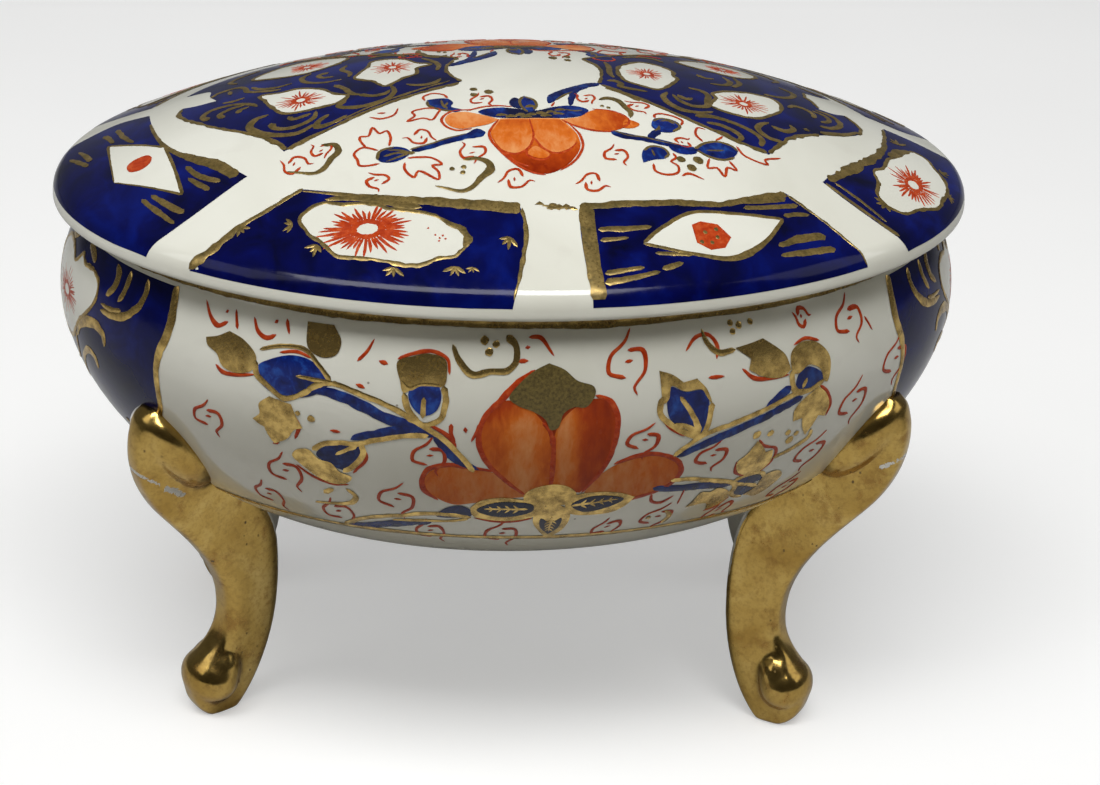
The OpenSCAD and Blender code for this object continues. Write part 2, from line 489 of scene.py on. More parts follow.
def brushed_gilding():
    """Brushed gold: tone 1 is bright and whole, tone 0 is thin, brown and matt. The tones given per layer
    also paint in light: low, darker gold as painted shade on the lid and the bowl's cap, higher, brighter
    gold for the light on the bowl's side.
    """
    n = Nodes("brushed_gilding")
    grain = n.noise(0.4, 5, rough=0.65)
    cloud = n.noise(1.8, 5, rough=0.6)
    # shine follows the tone, so it carries painted light and shade as well as the gilding's own thickness
    shine = n.uneven(n.tone(), cloud, 1.1)
    bright = n.ramp(cloud, (0.3, (0.34, 0.205, 0.055)), (0.7, (0.68, 0.48, 0.165)))
    thin = n.ramp(grain, (0.3, (0.060, 0.042, 0.011)), (0.7, (0.20, 0.145, 0.038)))
    n.set(Base_Color=n.mix(n.ramp(shine, (0.15, 0.0), (0.75, 1.0)), thin, bright))
    n.set(Metallic=n.ramp(shine, (0.1, 0.35), (0.7, 0.95)))
    matt = n.math("ADD", n.math("MULTIPLY", grain, 0.5), n.math("MULTIPLY", shine, -0.4))
    n.set(Roughness=n.ramp(matt, (-0.2, 0.22), (0.35, 0.55)))
    n.bump(grain, 0.025, 0.7)
    return n.material


def leg_gilding():
    """Gold over a whole leg, stained, mottled and pitted; tone 1 is porcelain where the gold is gone."""
    n = Nodes("gilding")
    brown, middle, bright = (0.38, 0.235, 0.058), (0.5, 0.335, 0.095), (0.63, 0.45, 0.155)
    stained, mottled = (0.3, 0.165, 0.045), (0.22, 0.125, 0.04)
    pitted, white = (0.05, 0.028, 0.012), (0.7, 0.69, 0.64)
    gold = n.ramp(n.noise(8, 4, warp=0.6), (0.32, brown), (0.52, middle), (0.72, bright))
    stain = n.ramp(n.noise(3.4, 6, rough=0.7), (0.52, 0.0), (0.66, 0.75))
    gold = n.mix(stain, gold, stained)
    mottle = n.ramp(n.noise(0.7, 5, rough=0.7), (0.46, 0.0), (0.75, 0.6))
    gold = n.mix(mottle, gold, mottled)
    pits = n.ramp(n.cells(1.5, n.stretched(1, 1, 0.7)), (0.05, 1.0), (0.13, 0.0))
    pits = n.math("MULTIPLY", pits, n.ramp(n.noise(5, 3), (0.5, 0.0), (0.6, 1.0)))
    bare = n.ramp(n.uneven(n.tone(), n.noise(1.0, 6, rough=0.7), 1.0), (0.46, 0.0), (0.54, 1.0))
    gold = n.mix(n.math("MULTIPLY", pits, 0.85), gold, pitted)
    n.set(Base_Color=n.mix(bare, gold, white))
    n.set(Metallic=n.ramp(n.math("MAXIMUM", bare, n.math("MULTIPLY", pits, 0.8)), (0.0, 1.0), (1.0, 0.0)))
    rough = n.ramp(n.noise(3, 5, rough=0.6), (0.3, 0.10), (0.72, 0.27))
    n.set(Roughness=n.mix(n.math("MAXIMUM", stain, pits), rough, 0.34))
    height = n.math("SUBTRACT", n.math("MULTIPLY", n.noise(1.6, 4), 0.5), pits)
    n.bump(height, 0.04, 0.6)
    return n.material


def floor_finish():
    """Pale card, near white to the camera, that throws less light up under the bowl."""
    n = Nodes("floor")
    path = n.new("ShaderNodeLightPath")
    black, white = (0, 0, 0), (1, 1, 1)
    pale = n.ramp(n.noise(300, 3), (0.3, (0.62, 0.62, 0.61)), (0.7, (0.66, 0.66, 0.65)))
    n.set(Base_Color=n.mix(path.outputs["Is Diffuse Ray"], pale, (0.30, 0.285, 0.255)))
    n.set(Emission_Color=n.mix(path.outputs["Is Camera Ray"], black, white), Emission_Strength=0.4)
    n.set(Roughness=n.ramp(n.noise(60, 3), (0.3, 0.55), (0.7, 0.7)))
    return n.material


PORCELAIN, COBALT, BUD_BLUE, ORANGE = porcelain(), cobalt(), bud_blue(), orange()
RED, GILT, LEG_GILT = iron_red(), brushed_gilding(), leg_gilding()

# ---------------------------------------------------------------- porcelain bodies


def ovals(ratio, *pairs):
    """Rings for lathe from pairs of half length and height, all of one width to length."""
    return [(a, a * ratio, z) for a, z in pairs]


def lid_rings():
    """From the crown over the edge to the underside, then up into the hollow."""
    rings = []
    for q in [0, *np.arange(1.2, BEND_START, 1.2), *np.arange(BEND_START, 64.6, 0.3)]:
        rho, z = lid_profile(np.array([float(q)]))
        rings.append((rho[0], rho[0] * NARROW, z[0]))
    rings += ovals(NARROW, (62.5, 72.55), (62.44, 72.3), (62.2, 72.08), (61.8, RIM_Z))
    rings += ovals(RING_NARROW, (RING_HALF, RIM_Z))
    rings += ovals(LID_HOLLOW_NARROW, *[(LID_HOLLOW_HALF, z) for z in (RIM_Z, 73.0, 74.2)])
    for t in np.append(np.arange(0.985, 0.02, -0.04), 0):
        z = LID_Z + LID_HOLLOW_RISE * (1 - t**OVAL_POWER)
        rings.append((LID_HOLLOW_HALF * t, LID_HOLLOW_HALF * LID_HOLLOW_NARROW * t, z))
    return rings


def bowl_rings():
    """From the underside up the outside, over the lip and down the hollow."""
    rings = ovals(NARROW, *[(a, BASE_Z) for a in (0, 12, 22, 23.4)])
    belly = BELLY_Z - (BELLY_Z - BASE_Z) * np.sin(np.radians(np.arange(89, 0, -2.0)))
    for z in (*belly, *np.arange(BELLY_Z, 71.3, 0.8)):
        a = float(bowl_half(np.array([z]))[0])
        rings.append((a, a * NARROW, z))
    lip = ((57.0, 71.4), (56.85, 71.75), (56.5, 71.97), (55.5, 72.0), (54.6, 71.97), (54.15, 71.75),
        (54.0, 71.3))
    for a, z in lip:
        across = min(1, max(0, (MOUTH_HALF - a) / WALL))
        rings.append((a, a * (NARROW + (HOLLOW_NARROW - NARROW) * across), z))
    for z in np.arange(70.5, BELLY_Z, -1.0):
        rings += ovals(HOLLOW_NARROW, (float(bowl_half(np.array([z]))[0]) - WALL, z))
    bottom = BASE_Z + WALL
    for t in np.sin(np.radians(np.arange(1, 89, 2.5))):
        rings += ovals(HOLLOW_NARROW, (belly_half(t) - WALL, BELLY_Z - (BELLY_Z - bottom) * t))
    return rings + ovals(HOLLOW_NARROW, *[(a, bottom) for a in (20.4, 12, 0)])


def flange_rings():
    """Down the outside of the ring, round its rounded foot and up its inside."""
    foot = RIM_Z - 4
    outer = [(RING_HALF, z) for z in (RIM_Z, 70.6, 69.2)] + [(53.1, 68.6), (52.8, 68.15), (52.2, foot)]
    inner = [(51.6, foot), (51.0, 68.15), (50.75, 68.6)] + [(LID_HOLLOW_HALF, z) for z in (69.2, 70.6, RIM_Z)]
    return ovals(RING_NARROW, *outer) + ovals(LID_HOLLOW_NARROW, *inner)


lathe("lid_shell", lid_rings(), False, PORCELAIN, "lid", ["lid"])
lathe("bowl_shell", bowl_rings()[::-1], False, PORCELAIN, "box", ["bowl"])
lathe(
    "lid_locating_ring", flange_rings(), True, PORCELAIN, "lid", ["lid_locating_flange"]
)

# ---------------------------------------------------------------- painted layers


def back_lid(uv):
    """Sends the front and side rim panels to the back of the lid, round the same oval, a little shorter."""
    q = np.hypot(uv[:, 0], uv[:, 1] / NARROW)
    angle = np.degrees(np.arctan2(uv[:, 1] / NARROW, uv[:, 0])) % 360
    angle = np.where(angle < 100, angle + 360, angle)
    turned = np.radians(369 + (angle - 171) * 153 / 190)
    return np.stack([q * np.cos(turned), q * NARROW * np.sin(turned)], 1)


def same(uv):
    """Leaves points where they were drawn."""
    return uv


def across_lid(uv):
    """Sends the front spray to the back of the lid, turned about a point just off the middle."""
    return np.array([1.0, -1.2]) - uv


def half_turn(uv):
    """Sends the front of the bowl to its back."""
    return uv + [math.pi * TURN, 0]


def swap_end(uv):
    """The other end panel of the bowl mirrors this one."""
    return np.array([1.5, 0.0]) + uv * [-1, 1]


END_MIDDLE = -86.0  # bowl coordinate s of the middle of the left end panel


def mirror_end(uv):
    """The far half of an end panel mirrors its near half."""
    return np.array([2 * END_MIDDLE, 0.0]) + uv * [-1, 1]


def layer(name, surface, material, slot, lift):
    """A layer of paint, whose lift keeps it clear of the layers under it."""
    return Layer(name, surface, "lid" if surface is on_lid else "box", material, slot, lift)


lid_blue = layer("lid_cobalt_panels", on_lid, COBALT, "cobalt_glaze", 0.03)
lid_white = layer("lid_white_reserves", on_lid, PORCELAIN, "white_porcelain", 0.055)
lid_gold = layer("lid_gilding", on_lid, GILT, "gilding", 0.085)
lid_red = layer("lid_red_drawing", on_lid, RED, "iron_red_enamel", 0.08)
lid_orange = layer("lid_orange_petals", on_lid, ORANGE, "orange_enamel", 0.04)
lid_buds = layer("lid_blue_buds", on_lid, BUD_BLUE, "cobalt_glaze", 0.06)
bowl_blue = layer("bowl_cobalt_ends", on_bowl, COBALT, "cobalt_glaze", 0.03)
bowl_white = layer("bowl_white_reserves", on_bowl, PORCELAIN, "white_porcelain", 0.055)
bowl_gold = layer("bowl_gilding", on_bowl, GILT, "gilding", 0.1)
bowl_red = layer("bowl_red_drawing", on_bowl, RED, "iron_red_enamel", 0.06)
bowl_orange = layer("bowl_orange_petals", on_bowl, ORANGE, "orange_enamel", 0.045)
bowl_buds = layer("bowl_blue_buds", on_bowl, BUD_BLUE, "cobalt_glaze", 0.07)
LID = (lid_blue, lid_white, lid_gold, lid_red, lid_orange, lid_buds)
BOWL = (bowl_blue, bowl_white, bowl_gold, bowl_red, bowl_orange, bowl_buds)


def moves(layers, *functions):
    """From here on, these layers draw everything once through each function."""
    for one in layers:
        one.moves = functions


def curl(red, x, y, size, turn, flip, tall, width):
    """The red scroll mark: two hooked strokes round a dash."""
    c, s = math.cos(math.radians(turn)), math.sin(math.radians(turn))

    def at(points):
        spots = []
        for u, v, w in points:
            u, v = flip * u, v * tall
            spots.append((x + size * (u * c - v * s), y + size * (u * s + v * c), w))
        return spots

    red.stroke(at([
        (0.3, 1.5, 0.5), (-0.1, 0.9, 0.8), (-0.85, 0.3, 1), (-0.95, -0.45, 1.1), (-0.1, -0.72, 1.2)]), width)
    red.stroke(at([
        (0.05, 0.55, 1.2), (0.85, 0.5, 1.3), (0.92, -0.4, 1), (0.35, -1.2, 0.8), (0.5, -1.6, 0.5)]), width)
    red.stroke(at([(-0.12, 0.02, 1), (0.3, 0.08, 1)]), width * 0.9)


def aster(red, x, y, rx, ry, hole=0.5, rays=34, tilt=0.0):
    """A red chrysanthemum: a ragged ring of pigment round a bare middle, with fine rays."""
    count = 40
    a = np.arange(count) * 2 * math.pi / count
    c, s = math.cos(math.radians(tilt)), math.sin(math.radians(tilt))
    uv, lift, faces = [], [], []
    for share, high, unsteady in ((0.4 * hole, -0.02, 0.03), (0.27, 0.015, 0.03), (0.36, 0.0, 0.07)):
        wob = 1 + unsteady * rng.normal(0, 1, count)
        u, v = rx * share * wob * np.cos(a), ry * share * wob * np.sin(a)
        uv.append(np.stack([x + u * c - v * s, y + u * s + v * c], 1))
        lift.append(np.full(count, red.lift + high))
    for row in (0, count):
        for k in range(count):
            n = (k + 1) % count
            faces.append([row + k, row + count + k, row + count + n, row + n])
    red.put(np.vstack(uv), np.concatenate(lift), faces, 0.5)
    for k in range(rays):
        b = (k + rng.uniform(-0.25, 0.25)) * 2 * math.pi / rays
        far = rng.uniform(0.66, 1.04)
        bent = b + rng.uniform(-0.03, 0.03)
        line = []
        for share, way, w in ((0.32, b, 1.1), ((0.4 + far) / 2, bent, 1.1), (far, b, 0.5)):
            u, v = rx * share * math.cos(way), ry * share * math.sin(way)
            line.append((x + u * c - v * s, y + u * s + v * c, w))
        red.stroke(line, 0.065 * (rx + ry) / 2 + 0.06, crown=0.01)


def sprig(gold, x, y, size, turn):
    """A small gold touch of four dabs."""
    for k, spread in enumerate((-55, -15, 25, 65)):
        b = math.radians(turn + spread + rng.uniform(-8, 8))
        far = size * rng.uniform(0.7, 1.1)
        tip = (x + far * math.cos(b), y + far * math.sin(b), 0.9)
        gold.stroke([(x, y, 1.2), tip], size * 0.27, crown=0.015)


def lines(target, width, *strokes, **how):
    """Several strokes of one width."""
    for points in strokes:
        target.stroke(points, width, **how)


def oval_arc(start, end, count=5):
    """Points along the rim of the lid between two outline points."""
    (x0, y0), (x1, y1) = start[:2], end[:2]
    a0, a1 = math.atan2(y0 / NARROW, x0), math.atan2(y1 / NARROW, x1)
    if abs(a1 - a0) > math.pi:
        a1 += 2 * math.pi * (1 if a0 > a1 else -1)
    angles = [a0 + (a1 - a0) * k / (count + 1) for k in range(1, count + 1)]
    return [(RIM_Q * math.cos(a), RIM_Q * NARROW * math.sin(a)) for a in angles]


def dots(target, crown, *spots):
    """Several dabs, each (x, y, radius)."""
    for x, y, r in spots:
        target.dot(x, y, r, crown)


def opening(white, gold, outline, width=0.6, ragged=0.25, grid=1.1):
    """A white opening in the cobalt with a gilt line round it."""
    white.fill(outline, grid=grid)
    gold.stroke(outline, width, closed=True, ragged=ragged)


def rim_point(x, y):
    """The point of the lid's rim in line with x, y, as a corner of an outline."""
    scale = RIM_Q / math.hypot(x, y / NARROW)
    return (x * scale, y * scale, 1)


# Partly painted light: the lid's gold gets a low tone, darker and browner, as painted shade on the lid's top,
# and the bowl's gold a higher, brighter tone for the light on its side.
lid_gold.tone, bowl_gold.tone = 0.3, 0.62
bowl_buds.tone = 0.78

# ---- rim panels of the lid; each is drawn once and sent to the back as well
moves(LID, same, back_lid)

a, b = rim_point(-49.8, -28.6), rim_point(-60.1, 4.9)
lid_blue.fill(
    [(-49.6, 6.8, 1), (-49.2, 2.4), (-48.5, -2.3), (-47.1, -7.3), (-45.3, -10.9), (-42.8, -13.7),
     (-39.6, -16.6), (-36.4, -20.7, 1), (-42.4, -24.8), (-47, -27.4), a, *oval_arc(a, b), b,
     (-57.8, 7.7), (-54.2, 8.8)]
)
lid_white.fill([
    (-54.8, -0.6, 1), (-51, -4), (-47.1, -7.8, 1), (-44.6, -20.7, 1), (-53.6, -12.6, 1), (-54.5, -5)])
lid_red.fill([
    (-52, -9.6), (-51.2, -8.6), (-49.5, -8.4), (-48.8, -9.4), (-49, -11), (-50.2, -11.9), (-51.6, -11.4)],
    grid=0.7)
lines(
    lid_gold, 0.75,
    [(-55.7, 4.7), (-54.9, 2.4), (-54.2, -0.1, 0.7)],
    [(-53.9, 5.2), (-53.3, 2.4), (-52.4, -0.5), (-51.4, -2.8, 0.6)],
    [(-60.1, 0.4, 0.6), (-58.9, -1.9), (-57.4, -4.8)],
    [(-59, 2, 0.6), (-58, -0.5), (-57.1, -3.4)],
    [(-49.8, -18.9, 0.8), (-48.1, -21.9), (-45.6, -25.7, 0.7)],
    [(-48.6, -18.7, 0.8), (-46.4, -21.9, 1.2), (-44.4, -24.3, 1.2)],
    [(-44.2, -14.8, 0.9), (-42.4, -18, 1.2), (-39.8, -20.3, 1.2)],
    [(-43.9, -17.6, 0.8), (-42.4, -19.8), (-41.2, -21.4)],
)
lid_gold.stroke([
    (-49.3, 2, 0.5), (-48.6, -2.3, 0.6), (-47.2, -7.3, 0.8), (-45.4, -10.7), (-43, -13.6, 2),
    (-40, -16.9, 2.4), (-37.7, -20.1, 2)], 0.75)
lines(
    lid_gold, 0.45,
    [(-54.8, -0.6), (-51, -4), (-47.1, -7.8)],
    [(-47.1, -7.8), (-45.8, -14), (-44.6, -20.7)],
    [(-54.9, -0.6), (-54.5, -5, 0.6), (-53.6, -12.6, 0.4)],
    [(-53.6, -12.6, 0.4), (-44.6, -20.7, 0.9)],
)

a, b = rim_point(-4.9, -46.3), rim_point(-44.3, -33.2)
top = [(-44.3, -33.1), (-41, -32.3), (-38.1, -30.1), (-35.3, -28.7), (-32.4, -27.3), (-29.5, -25.7)]
top_right = [(-29.5, -25.7), (-25.7, -27.2), (-19.5, -29.4), (-13.2, -30.9), (-7, -32.2), (-2.9, -32.8)]
lid_blue.fill([b, *top[1:-1], (-29.5, -25.7, 1), *top_right[1:-1], (-2.9, -32.8, 1), (-2.4, -35),
    (-2.4, -37.5), (-3.3, -41.6), a, *oval_arc(a, b, 8)])
opening(lid_white, lid_gold, [
    (-30, -30.8), (-28.9, -29.4), (-27, -28.9), (-24.5, -29.7), (-21.4, -30.2), (-18.9, -31.6),
    (-15.8, -32.5), (-13.6, -33.4), (-11.7, -35), (-10.1, -35.9), (-10, -38.1), (-11.4, -39.5),
    (-13.3, -39.7), (-15.8, -40.3), (-18.6, -39.7), (-20.4, -38.9), (-23.3, -38.1), (-25.8, -37.2),
    (-27.3, -35.3), (-28.6, -33.8), (-29.5, -32.5)], 0.55, 0.3)
lid_gold.stroke([
    (-12.4, -34.6, 0.5), (-10.4, -35.8), (-9.7, -37.2, 1.3), (-10.2, -38.7, 0.7)], 0.9, ragged=0.2)
lid_gold.stroke([
    (-26.8, -28.3, 0.5), (-23, -28.9), (-20, -29.9, 1.3), (-17, -31.3), (-15, -32, 0.5)], 1.1, ragged=0.2)
lid_gold.stroke([(x, y + 0.1, w) for (x, y), w in zip(top, (1, 1.5, 1.1, 0.7, 0.7, 0.8))], 0.9, ragged=0.2)
lid_gold.stroke([
    (x, y - 0.35, w) for (x, y), w in zip(top_right, (0.2, 0.4, 0.9, 1.1, 1.3, 1.5))],
    1.25, ragged=0.12, blunt=0.5)
lid_gold.stroke([(-2.6, -33.2), (-2.5, -37.5), (-3.4, -41.5), (-4.7, -45.6, 0.6)], 0.5, ragged=0.3)
spots = [
    (-4.5, -37.5, 1.7, 235), (-11.5, -41, 1.6, 255), (-18.9, -40.2, 1.7, 240), (-28, -35.2, 1.7, 230),
    (-30.9, -31.2, 1.4, 180), (-37.4, -29.6, 1.7, 265), (-9.4, -41.3, 1.0, 250)]
for x, y, size, turn in spots:
    sprig(lid_gold, x, y, size, turn)
aster(lid_red, -21.8, -34.2, 6.5, 4.1, rays=40, tilt=-8)
for x, y in ((-13.6, -36.4), (-13.1, -36.9), (-12.7, -36.6), (-12.4, -37.1), (-13.2, -37.3), (-14.4, -35.3)):
    lid_red.dot(x, y, 0.14, 0.02)

a, b = rim_point(5, -45.9), rim_point(42.3, -34.6)
top = [(4.6, -32.8), (10.5, -31.9), (17.4, -30.9), (23, -30.2), (27.7, -28.1), (32, -26.3)]
lid_blue.fill([
    (4.6, -32.8, 1), *top[1:-1], (32, -26.3, 1), (35.1, -28.7), (38.7, -31.6), b, *oval_arc(b, a, 8), a,
    (4.4, -40.6), (4.3, -36)])
lid_white.fill([
    (12, -38, 1), (15, -35.2), (18.9, -32.7, 1), (24.6, -31.9), (30.8, -31.3, 1), (28, -35.1),
    (23, -38.7, 1), (17.4, -38.6)])
lid_gold.stroke([(12, -38), (15, -35.2), (18.9, -32.6), (24.6, -31.8), (30.8, -31.2)], 0.5)
lid_gold.stroke([
    (30.9, -31.2), (28.1, -35.2, 1.2), (25, -37.9, 2), (22.6, -38.9, 1.5), (17.4, -38.8), (12, -38.1)], 0.45)
lid_red.fill([
    (18.5, -34.6, 1), (19.7, -33.9, 1), (21.9, -34, 1), (23.4, -35.7, 1), (22.4, -37.4, 1), (20.5, -38, 1),
    (18.8, -37.2, 1)], grid=0.7)
for x, y in ((20.1, -35.5), (21.6, -36), (19.5, -37), (20.8, -36.9), (21.6, -34.8)):
    lid_gold.dot(x, y, 0.28, 0.02)
lid_gold.stroke([(5.3, -33.1), (5.3, -37), (5.4, -41), (5.7, -45.6)], 1.9, crown=0.02, ragged=0.05, blunt=0.6)
lid_gold.stroke([
    (x, y - 0.3, w) for (x, y), w in zip(top, (1.2, 1.1, 1.1, 0.9, 1, 1.2))], 0.95, ragged=0.15, blunt=0.4)
for x, y in ((-0.4, -32.7), (0.5, -32.9), (1.3, -32.8), (2.0, -33.2), (2.9, -33.1), (3.7, -33.4),
    (1.0, -33.3)):
    lid_gold.stroke([
        (x - 0.6, y, 0.6), (x, y + 0.15), (x + 0.6, y - 0.05, 0.6)],
        0.75, crown=0.005, ragged=0.5, tone=0.42)
lid_gold.stroke([(32.2, -26.7), (35.2, -28.9, 0.8), (38.7, -31.8, 0.8), (42, -34.5, 0.6)], 0.5, ragged=0.3)
lines(
    lid_gold, 0.75,
    [(6.5, -36.4), (10, -36.1, 1.1), (13.3, -35.5, 0.7)],
    [(6.6, -38, 0.9), (10.2, -37.4, 0.6)],
    [(6.7, -42.5), (11.7, -41.4, 0.7)],
    [(6.6, -43.7, 1.2), (10, -42.9), (13.6, -41.8, 0.6)],
    [(13.9, -41.4), (16.7, -40.3, 0.8)],
    [(13.3, -39.3, 0.7), (18, -39.1, 0.6)],
    [(29.5, -35.7, 0.8), (32.6, -33.9, 1.5), (36.2, -32.4, 1.5)],
    [(29.6, -37.1, 0.7), (33.5, -35.6, 1.2), (37.2, -34.1, 1.3)],
    [(24.9, -29.7), (28.4, -28.8), (31.8, -27.5)],
    [(25.8, -30.6, 0.8), (30, -29.4), (33.3, -28.2)],
    [(31, -30.6), (33, -29.8, 0.9), (34.6, -29.4, 0.7)],
)

a, b = rim_point(48.4, -29.2), rim_point(60, -1)
lid_blue.fill(
    [(51.7, 1.3, 1), (50.9, -3), (49.8, -7.3), (48, -10.9), (45.1, -14.8), (42.3, -17.6), (39.4, -20.1),
     (37.8, -22.2, 1), (40.1, -24.4), (43.4, -26.8), (46.9, -28.8), a, *oval_arc(a, b), b, (56, 0.7)]
)
opening(lid_white, lid_gold, [
    (54.4, -4.7), (56.2, -5.2), (56.8, -7.6), (57.6, -10.9), (57.1, -14.1), (55.7, -16.9), (54.4, -19.4),
    (51.2, -21.6), (48.7, -23.5), (46.6, -23.3), (45.5, -21.2), (46.3, -18.4), (46.2, -15.9), (48, -14.1),
    (49.4, -10.9), (51.6, -8.4), (53, -6.3)], 0.5, 0.3)
aster(lid_red, 51.8, -15.8, 3.6, 5.1, tilt=-12)
lid_gold.stroke([
    (51.4, 0.6, 0.5), (50.7, -3.2, 0.8), (49.4, -7.8), (47.4, -11.6, 1.4), (44.6, -15.2, 1.9),
    (41.8, -18.3, 1.9), (38.8, -21.5, 1.4)], 0.8, ragged=0.2)
lid_gold.stroke([(53.6, -5.2), (51.5, -7.4, 1.3), (49.7, -9.8, 0.8)], 0.9, ragged=0.25)
lines(
    lid_gold, 0.55,
    [(38.2, -22.3), (41.4, -24.9), (44.8, -27.2), (47, -28.5)],
    [(39.6, -21.7, 0.7), (42.4, -23.8), (45.6, -26.6, 0.8)],
)
for x, y, size, turn in ((52.6, -4, 1.8, 100), (57.6, -8.4, 1.6, 20), (46.3, -22.8, 1.9, 215),
    (57, -15, 1.4, -20)):
    sprig(lid_gold, x, y, size, turn)

# ---- cobalt fans either side of the middle of the lid
moves(LID, same)
fan = [
    (-7.9, -3.7, 1), (-9.3, -1), (-9.7, 1.5), (-8.9, 4.5), (-7.6, 6.8, 1), (-15, 11.2), (-23, 15.4),
    (-31, 19.5, 1), (-37, 17.5), (-42, 14), (-44.6, 11, 1), (-41.4, 9.6), (-41.3, 6.5), (-40.4, 3.6, 1),
    (-43, 3.8), (-45, 4.6, 1), (-45.7, 2.5), (-44.6, -0.5), (-42.4, -4.1), (-39.6, -7.6), (-36, -10.9),
    (-33, -14.4), (-31.7, -17.2, 1), (-28, -15.5), (-20, -10.6), (-12, -6)]
lid_blue.fill(fan)
reserves = (
    [(-19.3, 8.2), (-17, 8.8), (-14.5, 7.5), (-13.4, 5.5), (-11.5, 4.3, 1), (-13.3, 2.8), (-13.6, 0.5),
     (-15.5, -1), (-18, -3.3, 1), (-19.5, -1), (-21.8, 1), (-21, 3.5), (-19.9, 5.6)],
    [(-34.5, 0.8, 1), (-31.8, 0.3), (-29.5, 0.6), (-26.2, -1.5), (-24.9, -3.6), (-23, -5, 1), (-24, -6.6),
     (-27, -7.5), (-31.4, -7.3), (-33, -4.5), (-33.9, -1.8)],
    [(-35.5, 10, 1), (-33.5, 12.8), (-31, 14.8), (-28, 15.6), (-24.7, 14.8), (-22.3, 13, 1), (-23.4, 10.5),
     (-25, 8.9), (-28.5, 7.1), (-32.8, 8)],
)
for outline in reserves:
    opening(lid_white, lid_gold, outline)
for x, y, r in ((-16.6, 4.1, 3.1), (-29.2, -4, 3.5), (-28, 10.9, 3.0)):
    aster(lid_red, x, y, r, r * 0.98, rays=24, hole=0.42)
lines(
    lid_gold, 0.8,
    [(-41.4, -3.4, 1.4), (-42.2, -1.9), (-41.4, -0.3), (-39.6, 0.1), (-37.4, -0.4), (-35.6, -1.9),
     (-34.9, -3, 0.5)],
    [(-39.4, -4.1, 1.3), (-39.9, -2.6), (-38.5, -1.5), (-36.6, -1.4, 0.6)],
    [(-37.5, -3.8, 1.2), (-37.2, -2.8), (-36, -2.4, 0.5)],
    [(-33.5, -6.6, 0.7), (-35.3, -7.3, 1.3), (-36, -9.1, 1.5), (-34.9, -11.2, 1.4), (-32.4, -13, 1.3),
     (-29.9, -13.5), (-27.6, -12, 0.8)],
    [(-33.2, -9.4, 1.4), (-32.8, -10.9), (-31, -11.8), (-29.2, -11.4), (-27.7, -10.2), (-27.3, -8.4, 0.6)],
    [(-30.9, -8.5, 1.2), (-30.4, -9.5), (-28.9, -9.2), (-28, -8.8, 0.5)],
    [(-25.7, -10, 0.9), (-27, -11.3), (-27.3, -12.8, 1.4), (-25.7, -12.6), (-23.4, -11, 0.6)],
    [(-23.3, -6.6, 0.9), (-24.4, -8), (-22.6, -9, 1.3), (-20.1, -8.7), (-17.9, -7.5), (-16.9, -5.6),
     (-17.2, -3.3, 0.6)],
    [(-21.6, -5.2, 1.2), (-19.8, -6.2), (-18.2, -5.9), (-17.4, -4.8, 0.5)],
    [(-15.2, -3.4, 0.6), (-13.3, -4.1), (-11.4, -3.5), (-10.5, -2.2, 0.5)],
    [(-24.6, -0.5, 1.2), (-23.3, -2.4), (-22.6, -4.4, 1.3), (-21.2, -5.4, 0.6)],
    [(-41.2, 5.6, 0.6), (-40.3, 7), (-38.9, 7.5), (-37.4, 7.4), (-36.5, 5.9), (-36.2, 4.1), (-33.9, 2.4),
     (-31.7, 1.7, 0.8)],
    [(-30.2, 3.4, 0.6), (-32.4, 3), (-34.6, 4), (-35.6, 5.7, 0.8)],
    [(-38.6, 6.5), (-38.5, 4.6, 0.6)],
    [(-39.6, 1.7, 0.6), (-38.4, 1.3), (-36.6, 1.6, 0.6)],
    [(-27.5, 6.6, 0.6), (-28.8, 5), (-28.4, 2.8), (-26, 1.3, 0.8), (-23.6, 1.4, 0.5)],
    [(-25.2, 5.6, 1.2), (-26.5, 5), (-26.2, 3.6), (-24.6, 3.2, 0.6)],
    [(-22.6, 8, 0.6), (-23.4, 6), (-22.4, 4), (-22.6, 2, 0.6)],
    [(-12.4, 7.6, 0.6), (-11.2, 6), (-10.4, 3.6), (-10.8, 1.2, 0.6)],
    [(-37.6, 10, 0.8), (-38.6, 12), (-37, 14.6), (-34.4, 16.4, 0.6)],
    [(-19.6, 10.4, 0.6), (-18, 11.4), (-15.6, 10.6), (-14.4, 9.2, 0.8)],
)
lid_gold.stroke([
    (-8.2, -4.1), (-14, -7), (-20, -10.2), (-26, -14, 0.8), (-31.3, -16.8, 1.2)], 0.7, ragged=0.25)
lid_gold.stroke([(-9.4, -3.3, 0.5), (-14, -5.9), (-20, -9.3, 0.8), (-25, -12.6, 0.5)], 0.5, ragged=0.3)
lid_gold.stroke([
    (-31.4, -16.9), (-32.9, -14.3, 1.3), (-36, -10.8), (-39.6, -7.5, 0.7), (-42.4, -4, 0.8), (-44.6, -0.5),
    (-45.5, 2.5, 1.2), (-45, 4.2, 0.6)], 0.65, ragged=0.3)
lid_gold.stroke([(-7.9, -3.6), (-9.1, -1), (-9.5, 1.5), (-8.7, 4.5), (-7.5, 6.7)], 0.55, ragged=0.3)
lid_gold.stroke([(-7.7, 6.9), (-15, 11), (-23, 15.2), (-31, 19.2)], 0.6, ragged=0.3)

